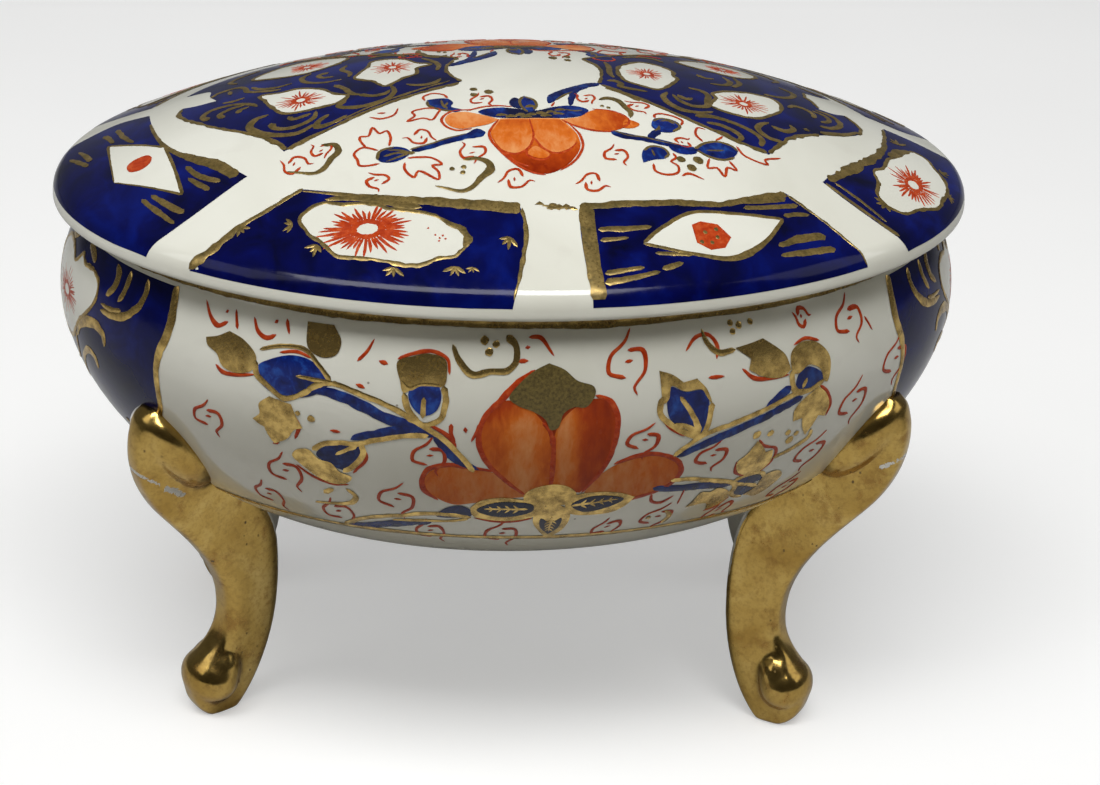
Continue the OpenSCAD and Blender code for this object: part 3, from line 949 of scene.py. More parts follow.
fan = [
    (9.5, 6.5, 1), (11, 4), (11.6, 1.5), (11.4, -1.5), (10.6, -4.4, 1), (15.5, -8.9), (20.5, -12.9),
    (24.6, -15.7), (28, -17.6), (31.2, -18.8, 1), (32.5, -16.8), (34.8, -13.7), (37.3, -11.6), (39.8, -10.1),
    (43.7, -8), (46.2, -5.9), (47.3, -3.4), (46.7, -0.5), (45.9, 1, 1), (44, 0), (42, 0.3, 1), (41.6, 3.4),
    (41, 5), (41.5, 7.6), (43.6, 8), (45.6, 8.6, 1), (45, 11), (42, 15), (37, 18), (31, 20.3, 1), (22, 14.6),
    (15, 10.2)]
lid_blue.fill(fan)
reserves = (
    [(16, 5.6), (18, 7), (20.4, 6), (22, 3.5), (21.6, 2), (22, 0.5), (20.5, -2.5), (18.6, -4.7, 1),
     (16.5, -4), (14.5, -2.5), (13.9, 0), (14.2, 3)],
    [(26.4, -5), (26.2, -3.4), (29, -1.5), (32.5, -0.4), (35.3, -1), (35.8, -4, 1), (34, -7), (31, -9.6),
     (27.6, -9.4), (25.2, -8)],
    [(23.5, 10.5, 1), (25.5, 12.8), (29, 14.2), (32.4, 13.8), (35, 11, 1), (34, 8.2), (31, 6.6), (28, 7.4),
     (25.4, 8.4)],
)
for outline in reserves:
    opening(lid_white, lid_gold, outline)
for x, y, r in ((17.9, 1.2, 2.9), (30.2, -5.4, 3.4), (30.2, 10.4, 2.8)):
    aster(lid_red, x, y, r, r * 0.98, rays=24, hole=0.42)
lines(
    lid_gold, 0.85,
    [(19.7, -5.3, 0.6), (18.9, -7), (19.5, -9.3, 1.2), (20.9, -10.6, 1.2), (23, -10.8), (25.2, -9.9, 0.7)],
    [(20.3, -5.9, 0.5), (21.1, -7.8), (22.7, -9), (24.6, -8.3, 1.2), (25, -6.3), (25.4, -4.7), (24.8, -3.2),
     (23, -2.6, 0.6)],
    [(21, -5.9, 1.2), (22, -6.9), (23, -6.4, 0.8)],
    [(22.4, -11.9, 1.2), (24.9, -11.4, 1.1), (27.7, -12.3), (29.9, -13.8), (30.9, -15.4), (30.4, -17.2, 0.8)],
    [(23.7, -13.3, 0.8), (25.6, -13.5), (27.4, -14.7, 1.1), (28, -15.9), (27.3, -16.9, 0.7)],
    [(23.9, -15, 0.6), (25.8, -15.6), (26.8, -16.6, 0.6)],
    [(33.8, -14.9, 0.9), (31.8, -14.4), (30.8, -12.6), (31.4, -11.2), (32.8, -10.1, 0.7)],
    [(33, -10.9, 0.9), (34.8, -11.6, 1.2), (36.2, -10.2), (35.8, -9.3, 0.6)],
    [(38, -9.9, 1.3), (38.2, -9.1, 1.3)],
    [(36.9, -3, 0.6), (38, -1.6), (39.4, -1.6), (40.5, -3), (40.2, -4.5, 0.8)],
    [(41.2, -0.8, 0.5), (43.3, -1.3), (44.2, -3.4, 1.2), (43.7, -5.1), (42.2, -6.6), (40.5, -7, 0.8)],
    [(40.6, -1.6, 0.5), (42.2, -2.2), (42.6, -4, 0.9), (41, -5.4, 0.7)],
    [(46.3, -5, 0.6), (44.4, -7.1), (41.9, -8.5, 1.1), (40.1, -9.2, 1.4)],
    [(29.2, 5.2, 0.5), (29.9, 3.4), (29.1, 1.3), (26.6, 0.6, 0.6)],
    [(30.9, 6, 0.6), (31.3, 3.4), (29.8, 0.8, 0.8)],
    [(37.6, 6.6, 0.8), (39.2, 4.9), (38.7, 2.7), (36.6, 0.9), (34.1, 0.5, 0.8)],
    [(25.4, 4.2, 1.2), (26.2, 3), (27.6, 3.2, 0.7)],
    [(11.8, -3, 0.9), (12.8, -2.8), (13.6, -3.8), (13.3, -4.7), (14.9, -5.4), (16.9, -5.9, 0.6)],
    [(12.6, 5.4, 0.6), (12.9, 3), (12.6, 0, 0.9), (13, -1.6, 0.6)],
    [(37.2, 9.4, 0.6), (38.4, 11.4), (37, 14.4), (34, 16.2, 0.8)],
    [(21.4, 8.6, 0.6), (20, 10.4), (17.6, 10.2), (15.6, 8.8, 0.8)],
    [(44.6, 9.4), (42.8, 10.6), (41.4, 12.8, 0.6)],
)
lid_gold.stroke([
    (10.8, -4.7), (15.6, -8.6), (20.6, -12.6), (24.7, -15.4), (28, -17.3), (31, -18.5, 1.2)],
    0.7, ragged=0.25)
lid_gold.stroke([(11.2, -5.8, 0.6), (13, -7), (15.4, -9.3, 0.8)], 0.5, ragged=0.3)
lid_gold.stroke([(31.2, -18.4), (32.6, -16.6), (34.9, -13.6), (37.4, -11.5), (39.8, -10)], 0.65, ragged=0.3)
lid_gold.stroke([(46.4, -5.8), (47.2, -3.4), (46.6, -0.5), (45.8, 0.8)], 0.6, ragged=0.3)
lid_gold.stroke([(9.6, 6.3), (11, 4), (11.5, 1.5), (11.3, -1.5), (10.6, -4.2)], 0.55, ragged=0.3)
lines(
    lid_gold, 0.6,
    [(42, 0.6), (41.6, 3.4), (41, 5), (41.5, 7.6)],
    [(9.7, 6.5), (15, 10), (22, 14.4), (31, 20)],
    ragged=0.3,
)

# ---- flower sprays in the white front and back of the lid
moves(LID, same, across_lid)


def petal_tone(low, high, y0, y1):
    """Paint that thickens from low at y0 to high at y1."""
    return lambda uv: np.clip(low + (high - low) * (uv[:, 1] - y0) / (y1 - y0), 0, 1)


def ridge_tone(full, thinned, x0, width, tip, z0):
    """Paint of strength full, thinned along a ridge at x0 and thicker by tip over 4 mm above z0."""

    def tone(uv):
        ridge = thinned * np.exp(-(((uv[:, 0] - x0) / width) ** 2))
        return np.clip(full - ridge + tip * np.clip((uv[:, 1] - z0) / 4, 0, 1), 0, 1)

    return tone


bud = [
    (-3.8, -15.4, 1), (-5.3, -18.7), (-5.1, -20.7), (-4, -23.2), (-2.6, -25.3), (-0.8, -26.9), (0.9, -27.4),
    (2.8, -26.6), (4.6, -24.7), (5.9, -22), (5.8, -19.2), (4.9, -17), (4, -15.4, 1)]
lid_orange.fill(bud, petal_tone(0.45, 0.95, -21, -27), grid=0.8)
lid_orange.lift += 0.02
lid_orange.fill([
    (-3.8, -15.7, 1), (-5, -18.6), (-4.9, -20.7), (-4.1, -22.6), (-2.6, -23.3), (-1, -22.4), (-0.1, -20),
    (-0.1, -15.7, 1)], petal_tone(0.42, 0.12, -16, -22), grid=0.7)
lid_orange.fill([
    (0.1, -15.7, 1), (0.1, -20), (1.1, -22.2), (2.5, -23.2), (4.1, -22.6), (5.4, -21), (5.5, -19),
    (4.6, -17), (3.9, -15.7, 1)], petal_tone(0.36, 0.15, -16, -22), grid=0.7)
lid_orange.fill([
    (0.1, -21.9), (-0.7, -22.7), (-1, -23.5), (0, -24.3), (1.1, -24.4), (1.8, -23.6), (1, -22.6)],
    petal_tone(0.2, 0.3, -22, -24), grid=0.6)
lid_orange.fill([
    (-3.9, -15.6, 1), (-6.1, -14.3), (-8.2, -13.3), (-10.1, -13.5), (-10.9, -14.8), (-10.6, -16.4),
    (-9.3, -17.5), (-7.5, -17.3), (-5.4, -16.7)], petal_tone(0.0, 0.25, -13.5, -17.5), grid=0.8)
lid_orange.fill([
    (4.1, -15.6, 1), (5.8, -17), (8.3, -18), (10.6, -18), (12.2, -17), (13.1, -15.6), (12.7, -14.3),
    (11.1, -13.1), (9.3, -12.7), (8, -13.4), (6.6, -14.9)],
    lambda uv: np.clip(0.08 + 0.085 * (uv[:, 0] - 5.5), 0, 0.6), grid=0.8)
lid_orange.fill([(12.7, -14.9), (14.4, -15.8), (13.6, -16.9), (12.2, -17.1)], 0.35, grid=0.6)
lid_orange.lift -= 0.02
lines(
    lid_red, 0.36,
    [(0, -15.6, 0.6), (0.05, -20), (-1, -22.5), (-2.6, -23.5), (-4.2, -22.8), (-5.1, -21, 0.6)],
    [(0.05, -20), (1.1, -22.3), (2.5, -23.4), (4.2, -22.8), (5.6, -21, 0.6)],
    [(-1, -22.6, 0.7), (-1.1, -23.7), (0, -24.6), (1.2, -24.6), (2, -23.6, 0.6)],
    [(-3.9, -22.9, 0.6), (-2.7, -25, 0.9), (-1, -26, 0.5)],
    [(-4, -15.6, 0.7), (-5.5, -18.7), (-5.3, -20.8), (-4.1, -23.3, 1.2), (-2.7, -25.5), (-0.8, -27.1),
     (0.9, -27.6, 0.8)],
    [(5, -16.6, 0.5), (6.1, -19.2), (6.2, -22), (4.8, -24.9), (2.8, -26.8, 0.6)],
    [(-7.2, -12.7, 0.5), (-10, -13), (-11.3, -14.7, 1.1), (-11, -16.5), (-9.6, -17.8), (-7.6, -17.6, 0.6)],
    [(-8, -13.1, 0.5), (-6, -12.2, 1.1), (-3.9, -11.9), (-2, -12.3, 0.5)],
    [(4.2, -15.8, 0.6), (5.8, -17.2, 1.2), (8.3, -18.2), (10.6, -18.2, 0.7)],
    [(8.6, -12.6, 0.5), (11.1, -12.9, 1.1), (12.9, -14.3), (13, -15.9), (12, -17.2, 0.5)],
)
calyx = [
    (-6.5, -13.5), (-5.4, -12.7), (-3.2, -12.5), (-1.4, -12.9), (1.1, -13.4), (3.4, -12.4), (6.1, -11.9),
    (8, -12.9), (7.4, -14.2), (5.6, -15.1), (1.1, -15.4), (-2, -15.4), (-4.8, -14.9)]
lid_buds.fill(calyx, lambda uv: np.where(np.abs(uv[:, 0]) < 3.0, 0.1, 0.75), grid=0.7)
lid_buds.fill([
    (-0.8, -12.9), (-2, -12.2), (-2.2, -10.9), (-1.4, -9.6), (-0.6, -10.4), (-0.6, -12)], 0.25, grid=0.6)
lid_buds.fill([
    (-0.1, -9.1, 1), (1, -10.2), (1.4, -11.8), (0.9, -13.3), (0, -13.8), (-0.7, -12.6), (-0.8, -10.7)],
    0.9, grid=0.6)
lid_buds.stroke([(3, -11.3, 0.6), (3.9, -9.1, 1.1), (5.8, -7.2), (8.3, -5.4), (10.6, -4.2)], 1.25)
lid_buds.stroke([(5.8, -11.8, 0.7), (6.3, -9.1), (7.1, -7, 1.1), (9, -5.3, 0.8)], 0.95)
lid_buds.fill([
    (-12.9, -9.4), (-12, -9.1), (-10.2, -9.2), (-9.5, -10.6), (-9.9, -11.6), (-8.3, -12.7, 1),
    (-9.4, -13.3, 1), (-11.2, -12), (-12.4, -11.3)], 0.6, grid=0.7)
lid_buds.stroke([
    (-6, -18.6, 1.6), (-7.2, -18.8, 1.5), (-8.2, -19.2), (-10.8, -20), (-13.3, -20.9, 0.9),
    (-15.6, -21.5, 0.8)], 1.25)
lid_buds.fill([
    (-19.8, -21.2), (-19.4, -20.5), (-17.9, -20.2), (-16.4, -20.8), (-15.8, -21.8), (-16.7, -22.9),
    (-18.3, -23.4), (-19.8, -22.8)], 0.6, grid=0.7)
lid_buds.stroke([
    (10.3, -18.1, 0.9), (11.6, -18.8, 1.2), (14.3, -19.3), (16.8, -19.8), (19.6, -20.4), (21.6, -20.6)],
    1.15)
lid_buds.stroke([(15.2, -19.2), (16, -18), (16.9, -17)], 1.1)
lid_buds.fill([
    (16.1, -15.2), (16.7, -14), (18.3, -13.7), (19.7, -14.4), (19.8, -15.7), (18.6, -17.1), (17, -17.3),
    (16, -16.4)], 0.95, grid=0.7)
lid_buds.fill([
    (14.2, -21.6), (15.2, -20.8), (16.8, -20.9), (17.4, -22.2), (16.8, -23.2), (15.2, -23.7),
    (13.7, -24.5, 1), (13.7, -23)], 0.7, grid=0.7)
lid_buds.fill([(17.6, -20.5), (19.4, -20.3), (21.2, -21.2), (19.3, -21.9), (18, -21.4)], 1.0, grid=0.6)
lid_buds.fill([
    (21.4, -20.2), (22.4, -18.7), (23.9, -18), (25.8, -18.2), (26.8, -19.5), (26.1, -20.9), (24.5, -22),
    (22.7, -21.7)], 0.75, grid=0.7)
lines(
    lid_gold, 0.42,
    [(-0.1, -9.3), (1, -10.3), (1.3, -11.8), (0.8, -13.2)],
    [(-0.2, -9.3), (-0.8, -10.7), (-0.6, -12.6), (0, -13.8)],
    [(-12.8, -9.6), (-12.8, -10.8), (-11.6, -12), (-9.6, -13)],
    [(-11, -9.5, 0.6), (-10.9, -11), (-10.4, -12.2, 1.4)],
    [(-10.2, -10.3, 0.7), (-10.6, -11.4)],
    [(-15.8, -21.2), (-13.3, -20.5), (-10.8, -19.5), (-8.4, -18.8, 0.6)],
    [(-20, -22.5, 1.1), (-19.7, -21), (-19, -20.5), (-17.8, -20.4)],
    [(-19.2, -22), (-17.6, -21.6), (-16.2, -21.8, 1.4), (-15.2, -22, 1.4)],
    [(-18.9, -23.1, 0.6), (-17.4, -22.5), (-16, -22)],
    [(-18.6, -20.8, 0.6), (-17.2, -21.1), (-16, -21.7)],
    [(10.8, -18), (12.6, -18.9), (14.4, -19), (16.7, -19.6), (19, -20, 0.6)],
    [(16.3, -14.8), (17.4, -13.9), (19, -14.2), (19.8, -15.4), (18.6, -17)],
    [(17.2, -14.6, 0.6), (18.4, -14.3), (19.2, -15)],
    [(16.2, -17.3, 0.8), (16.8, -16.6, 1.2), (17, -15.8, 0.6)],
    [(14.1, -22), (15.2, -20.9), (16.7, -21), (17.3, -22.2), (16.6, -23.2)],
    [(15.2, -21.6, 0.6), (15.4, -23, 0.8)],
    [(21, -20.4, 1.3), (22.6, -18.8), (24.4, -18), (26.3, -18.5), (26.9, -19.6)],
    [(21.3, -20.6), (22.6, -21.6), (24.5, -21.9), (26.2, -21)],
    [(22.5, -20.4, 0.6), (24.2, -20), (25, -19.8, 0.6)],
    [(4, -10.4, 0.6), (5.4, -8.6), (6.6, -7.6, 0.6)],
)
spots = [
    (-2.4, -15), (-1.2, -14.7), (0.2, -14.6), (1.6, -14.2), (3, -13.9), (4.2, -13.2), (-3.6, -14.6),
    (2.2, -14.8), (3.9, -14.3), (-0.4, -15.1), (0.4, -12.4)]
for x, y in spots:
    lid_gold.stroke([
        (x - 0.7, y - 0.1, 0.9), (x + 0.1, y + 0.25, 1.3), (x + 0.8, y, 0.8)], 0.6, crown=0.02, ragged=0.3)
lid_gold.stroke([(5, -13, 0.8), (6.2, -13.3), (7.2, -13.1, 0.6)], 0.4)
lines(
    lid_gold, 0.9,
    [(-9.3, -24.2, 0.7), (-7.6, -24.1, 0.8), (-6.1, -25), (-6, -26.3, 1.3), (-7.2, -27.7),
     (-8.3, -29.1, 0.8), (-9.8, -29.9, 0.7), (-11.7, -29.2, 0.5), (-13.1, -28.6, 0.3)],
    [(-26.9, -17.4, 0.6), (-25.2, -18), (-24.8, -19.4, 1.1), (-25.8, -20.8), (-26.7, -22.5),
     (-27.9, -23.1, 0.7), (-30.1, -22.3, 0.45), (-31.4, -21.7, 0.3)],
    [(9.8, -9.8, 0.6), (11.1, -9.1), (12.4, -9.7, 1.1), (13, -11.3), (13.6, -12.9), (13.4, -14.3, 0.5)],
)
dots(lid_gold, 0.04, (18.8, -23, 0.6), (21.1, -22.7, 0.7), (20, -24.5, 0.65), (-10.8, -25.8, 0.35),
    (-9.3, -25.6, 0.35), (-9.5, -26.6, 0.35), (-6.5, -6.6, 0.5), (-6.6, -8.4, 0.5), (-4.6, -7.6, 0.65),
    (10, -11.6, 0.28), (10.8, -12, 0.28))
lines(
    lid_red, 0.36,
    [(-19.8, -20.6), (-21.7, -19.5), (-22.9, -20.6), (-22.5, -21.9), (-22.3, -23.1), (-21.1, -23.4),
     (-19.8, -23.3)],
    [(-21.3, -19.7), (-22, -17.6), (-21.9, -17), (-20.9, -17.1), (-20.3, -15.2), (-19.4, -16.8),
     (-18.5, -16.4), (-18.1, -18.1), (-18.4, -20)],
    [(-16.6, -23.7), (-16.7, -25), (-15.6, -26.7), (-15, -25.6), (-12.6, -27.5), (-12.5, -26.2),
     (-13.2, -24.8), (-12, -24.8), (-13.2, -23.3), (-15.1, -22.9), (-16.2, -22.9)],
    [(-15.9, -14.7), (-14.7, -13.3), (-15, -12.3), (-13.3, -11.6), (-11.4, -12.1), (-11.8, -13.4),
     (-12.6, -14.8), (-13.6, -14.2), (-15.9, -14.7)],
    [(-13.1, -9.4), (-13.3, -8.2), (-12, -7.3), (-10.6, -7.9), (-10.1, -9.1)],
    [(16.7, -13.9), (16.8, -13), (17.5, -12.5), (19.2, -12.8), (20.4, -13.8), (20, -15.1)],
    [(15, -24.5), (15.1, -25.9), (16.4, -26.4), (18, -25.8), (18.2, -24.4), (17.4, -23.7), (18.2, -22.8),
     (17.9, -21.9)],
    [(22.4, -18.5), (21.7, -16.9), (22.3, -15.1), (23.2, -15.3, 0.6)],
    [(24.2, -17.7), (25, -16.9), (25.4, -16.3, 0.5)],
    [(26.9, -18.3), (27.7, -20.2), (30.6, -21.2), (30.4, -20.3), (32.7, -19.1)],
    [(22.7, -22), (22.2, -24.1), (23.4, -23.8), (24.2, -25.3), (24.9, -23.4), (26, -23.7), (25.3, -21.9)],
    [(18.4, -26.4, 0.6), (19.4, -25.7, 1.3), (20.3, -26), (21.3, -26.5, 0.5)],
    [(-20.5, -12.4, 0.6), (-19, -13.2, 1.2), (-17.4, -12.6), (-16.7, -10.8, 0.5)],
    [(-19.5, -11.6), (-18.4, -11.8)],
    [(3.2, -12.2, 1.2), (3.8, -10.9, 0.5)],
)
spots = [
    (-30.5, -20.6, 1.7, 60, 1), (-26.9, -18.6, 1.4, 200, 1), (-14.2, -18.6, 1.6, 250, 1),
    (-20.2, -26.4, 1.4, 20, -1), (-7.9, -22.8, 1.7, 190, 1), (-3.1, -28.1, 1.7, 95, -1),
    (6.6, -28.7, 1.6, 90, -1), (10.3, -23.2, 1.6, 10, 1), (14.9, -10.9, 1.5, 40, -1),
    (8.2, -9.5, 1.3, 210, 1), (-5.8, -9.9, 1.5, 15, 1), (19.6, -19.3, 1.1, 120, 1)]
for x, y, size, turn, flip in spots:
    curl(lid_red, x, y, size, turn, flip, 0.9, 0.36)

# ---- white front and back of the bowl
moves(BOWL, same, half_turn)
left = [
    (-1.9, 46.7, 1), (-4.4, 49.4), (-6.3, 52), (-7.4, 54.7), (-7.5, 57), (-6.8, 59.3), (-5, 61.3),
    (-3.6, 61.2), (-1.7, 59.9), (-0.2, 57.7), (0.5, 55.2), (0.8, 52), (0.8, 47.5, 1)]
right = [
    (0.9, 47.5, 1), (0.9, 52), (0.8, 56), (1.4, 58.2), (3, 60.2), (5.3, 61.4), (7, 60.7), (7.8, 58.6),
    (7.8, 56), (7.3, 52.7), (6.3, 50), (4.7, 47, 1)]
bowl_orange.fill(left, ridge_tone(0.52, 0.44, -2.6, 2.4, 0.5, 58), grid=0.8)
bowl_orange.fill(right, ridge_tone(0.66, 0.52, 2.2, 1.6, 0.15, 57), grid=0.8)
side = [
    (-14.4, 49), (-13.6, 50.6), (-11.7, 51.4), (-9, 51.2), (-5.8, 50.6), (-3.8, 48.7), (-2, 46.5, 1),
    (-5, 46.1), (-8.3, 45.3), (-11, 44.8), (-13, 45.8), (-14.2, 47.3)]
bowl_orange.fill(side, lambda uv: np.clip(0.32 - 0.02 * (uv[:, 0] + 14), 0.05, 0.4), grid=0.9)
side = [
    (5.2, 47, 1), (6.3, 49.3), (8.3, 51.3), (11, 52.3), (13, 52.4), (14.9, 51.8), (16.4, 50.6), (17, 49),
    (16.2, 47.4), (14.6, 46.3), (12, 45.5), (8, 46)]
bowl_orange.fill(side, lambda uv: np.clip(0.1 + 0.02 * (uv[:, 0] - 5), 0.05, 0.4), grid=0.9)
bowl_orange.lift -= 0.015
bowl_orange.fill([
    (-4, 61.2), (-2, 60), (-0.4, 58), (0.4, 54.5), (1.1, 54.5), (1.4, 57.8), (3, 60), (5, 61.4), (0.5, 62)],
    0.8, grid=0.8)
bowl_orange.lift += 0.015
lines(
    bowl_red, 0.7,
    [(0.8, 56.5, 0.7), (0.9, 52), (0.9, 48, 0.8)],
    [(-2.2, 46.9, 0.6), (-4.7, 49.5), (-6.6, 52), (-7.7, 54.7), (-7.8, 57), (-7, 59.4), (-5.2, 61.6, 1.2),
     (-3.5, 63.7, 1.1), (-1.6, 65.2, 0.6)],
    [(4.9, 47, 0.6), (6.6, 50), (7.6, 52.7), (8.1, 56), (8.1, 58.7, 1.1), (7.1, 61, 1.1), (5.4, 61.8, 0.6)],
    [(-13, 45.5, 0.6), (-14.6, 47.2, 1.2), (-14.7, 49.1), (-13.8, 50.9), (-11.7, 51.7, 1.1), (-9, 51.5),
     (-6, 50.9, 0.6)],
    [(8.3, 51.6, 0.6), (11, 52.6, 1.2), (13.1, 52.7), (15.1, 52), (16.7, 50.8), (17.3, 49), (16.5, 47.2),
     (14.6, 46), (12, 45.2, 1.1), (9, 44.6, 0.7)],
    [(-0.6, 58.4, 0.7), (0.4, 56.9, 0.8), (0.5, 55, 0.5)],
)
cap = [
    (-4.5, 61.7), (-3.3, 63.6), (-1.7, 65.1), (0, 66, 1), (1.8, 65.2), (3.3, 63.8), (5.2, 63), (5.4, 62),
    (4.3, 60.3), (3, 60.4), (1.8, 59.6), (1.2, 57.6), (0.4, 57.3), (-0.3, 58.8), (-1.7, 59.9), (-3.3, 60.6)]
# The cap gets tone 0, the darkest and most matt gold: painted shade on the bowl's shoulder as well as thin
# gilding.
bowl_gold.fill(cap, 0.0, grid=0.8)
bowl_gold.fill([
    (-2.3, 46.3), (-1.7, 47.7), (0, 48.5), (1.7, 48.7), (3.3, 48.1), (4.3, 46.8), (4, 45.2), (-1.7, 45.2)],
    grid=0.8)
for outline in (
    [(-9, 44.3, 1), (-7.7, 45.7), (-5, 46.4), (-1.7, 45.8), (0.4, 45.5), (0.2, 43.2), (-0.8, 42.6),
     (-3.3, 41.8), (-6.3, 41.9), (-8.7, 42.7)],
    [(12.1, 45.5, 1), (10, 46.5), (7, 47), (4.3, 46.6), (3.2, 45.4), (3.4, 43.6), (4.2, 42.9), (6.7, 42.5),
     (9.7, 42.8), (11.3, 44)],
    [(-0.5, 43.6), (-0.7, 41.3), (0.3, 39.3), (1.7, 37.4, 1), (3.3, 39), (4.1, 41.3), (3.8, 43.6), (1.7, 45)],
):
    bowl_gold.fill(outline, grid=0.8)
bowl_buds.lift += 0.06
for outline in (
    [(-8.2, 43.9), (-6.3, 45.3), (-3.7, 45.6), (-1, 45), (-1, 43.8), (-3.7, 42.7), (-6.3, 42.8)],
    [(3.9, 44.8), (5.7, 46.1), (8.3, 46.2), (10.7, 45.3), (9, 44), (5.7, 43.3)],
    [(0.3, 42.2), (0.3, 40.4), (1.7, 38.5, 1), (2.9, 40.1), (3, 42.2), (1.7, 41.2)],
):
    bowl_buds.fill(outline, 0.12, grid=0.7)
bowl_buds.lift -= 0.06
bowl_gold.lift += 0.06
for base, turn, reach in (((-1.6, 44.2), 180, 5.6), ((3.9, 44.6), 8, 6.0), ((1.7, 42.4), 270, 3.2)):
    c, s = math.cos(math.radians(turn)), math.sin(math.radians(turn))
    bowl_gold.stroke([
        (base[0], base[1]), (base[0] + reach * c, base[1] + reach * s, 0.6)], 0.42, crown=0.03, ragged=0.25)
    for k in range(1, 5):
        along = reach * k / 5
        for hand in (-1, 1):
            x, y = base[0] + along * c, base[1] + along * s
            far = 0.9 * (1 - 0.1 * k)
            bowl_gold.stroke([
                (x, y), (x + far * (c - hand * s), y + far * (s + hand * c), 0.6)],
                0.34, crown=0.02, ragged=0.25)
bowl_gold.lift -= 0.06

# stems, then leaves and buds, from left to right
lines(
    bowl_buds, 1.25,
    [(-28.5, 60.9, 0.7), (-25, 60.7, 1.1), (-21.7, 59.6, 1.2), (-18.3, 58, 1.2), (-15.2, 57.3, 1.1),
     (-13, 56)],
    [(-13, 56.4, 0.8), (-11.5, 54), (-9.8, 52.1), (-7.8, 51.2, 0.6)],
    [(-14.6, 57.2), (-18.3, 56.1, 1.2), (-21, 55.4), (-23, 54.5, 0.6)],
    [(-27.8, 37.9, 0.5), (-24, 38.6, 1.1), (-20, 39.7, 1.2), (-14.5, 40.7, 0.6)],
    [(16.2, 51.8, 0.7), (19.7, 53.4), (23, 54.5), (26.3, 55.6), (29.8, 56.8), (32.8, 57.7, 0.8)],
    [(27.3, 57.4, 0.6), (29.3, 58.7), (30.9, 59.6, 0.9)],
    [(14.2, 46.7, 0.8), (16.7, 46.2), (19.7, 46), (23, 45.5), (26, 44.9, 0.6)],
)
bowl_buds.fill([
    (-10, 44.6), (-11.7, 44.3), (-13.4, 42.8), (-13.6, 42.2), (-9, 42.6), (-8.8, 43.6)], 0.5, grid=0.7)
bowl_buds.fill([
    (-35, 62.7), (-33.3, 63.9), (-30.7, 64.8), (-28.3, 64.6), (-26.3, 63.3), (-25.6, 61.9), (-27.3, 60.2),
    (-30, 59.4), (-32.7, 59.5), (-34.8, 61)], lambda uv: np.where((uv[:, 0] > -29.5) & (uv[:, 1] < 62.3),
    0.45, 1.0), grid=0.7)
bowl_buds.fill([
    (-16, 62), (-14.8, 62.9), (-12.7, 63), (-12.2, 61.6), (-12.8, 59.6), (-14.3, 58.9), (-15.7, 60.3)],
    0.95, grid=0.7)
bowl_buds.fill([
    (-27.8, 51.3), (-26.3, 53), (-23.7, 53.8), (-21.6, 53.5), (-22, 51.6), (-23.7, 49.3), (-25.7, 49.7)],
    0.6, grid=0.7)
bowl_buds.fill([
    (14.2, 62.2), (16.3, 61.3), (18.7, 61.2), (19.4, 58), (18.6, 55.2), (16.6, 56.2), (14.6, 57.6),
    (14, 59.6)], 0.8, grid=0.7)
bowl_buds.fill([(31.8, 61), (33.3, 61.8), (35.3, 60.8), (36, 59.7), (33.3, 58.6), (31.6, 59)], 0.55, grid=0.7)
bowl_buds.fill([(26.4, 45.3), (28, 45.9), (30, 45.8), (31.4, 44.8), (29.3, 44.2)], 0.35, grid=0.6)
bowl_buds.fill([(26.7, 44.2), (28.7, 44), (30.8, 43.1), (29.7, 41.9), (28, 42.6)], 0.35, grid=0.6)
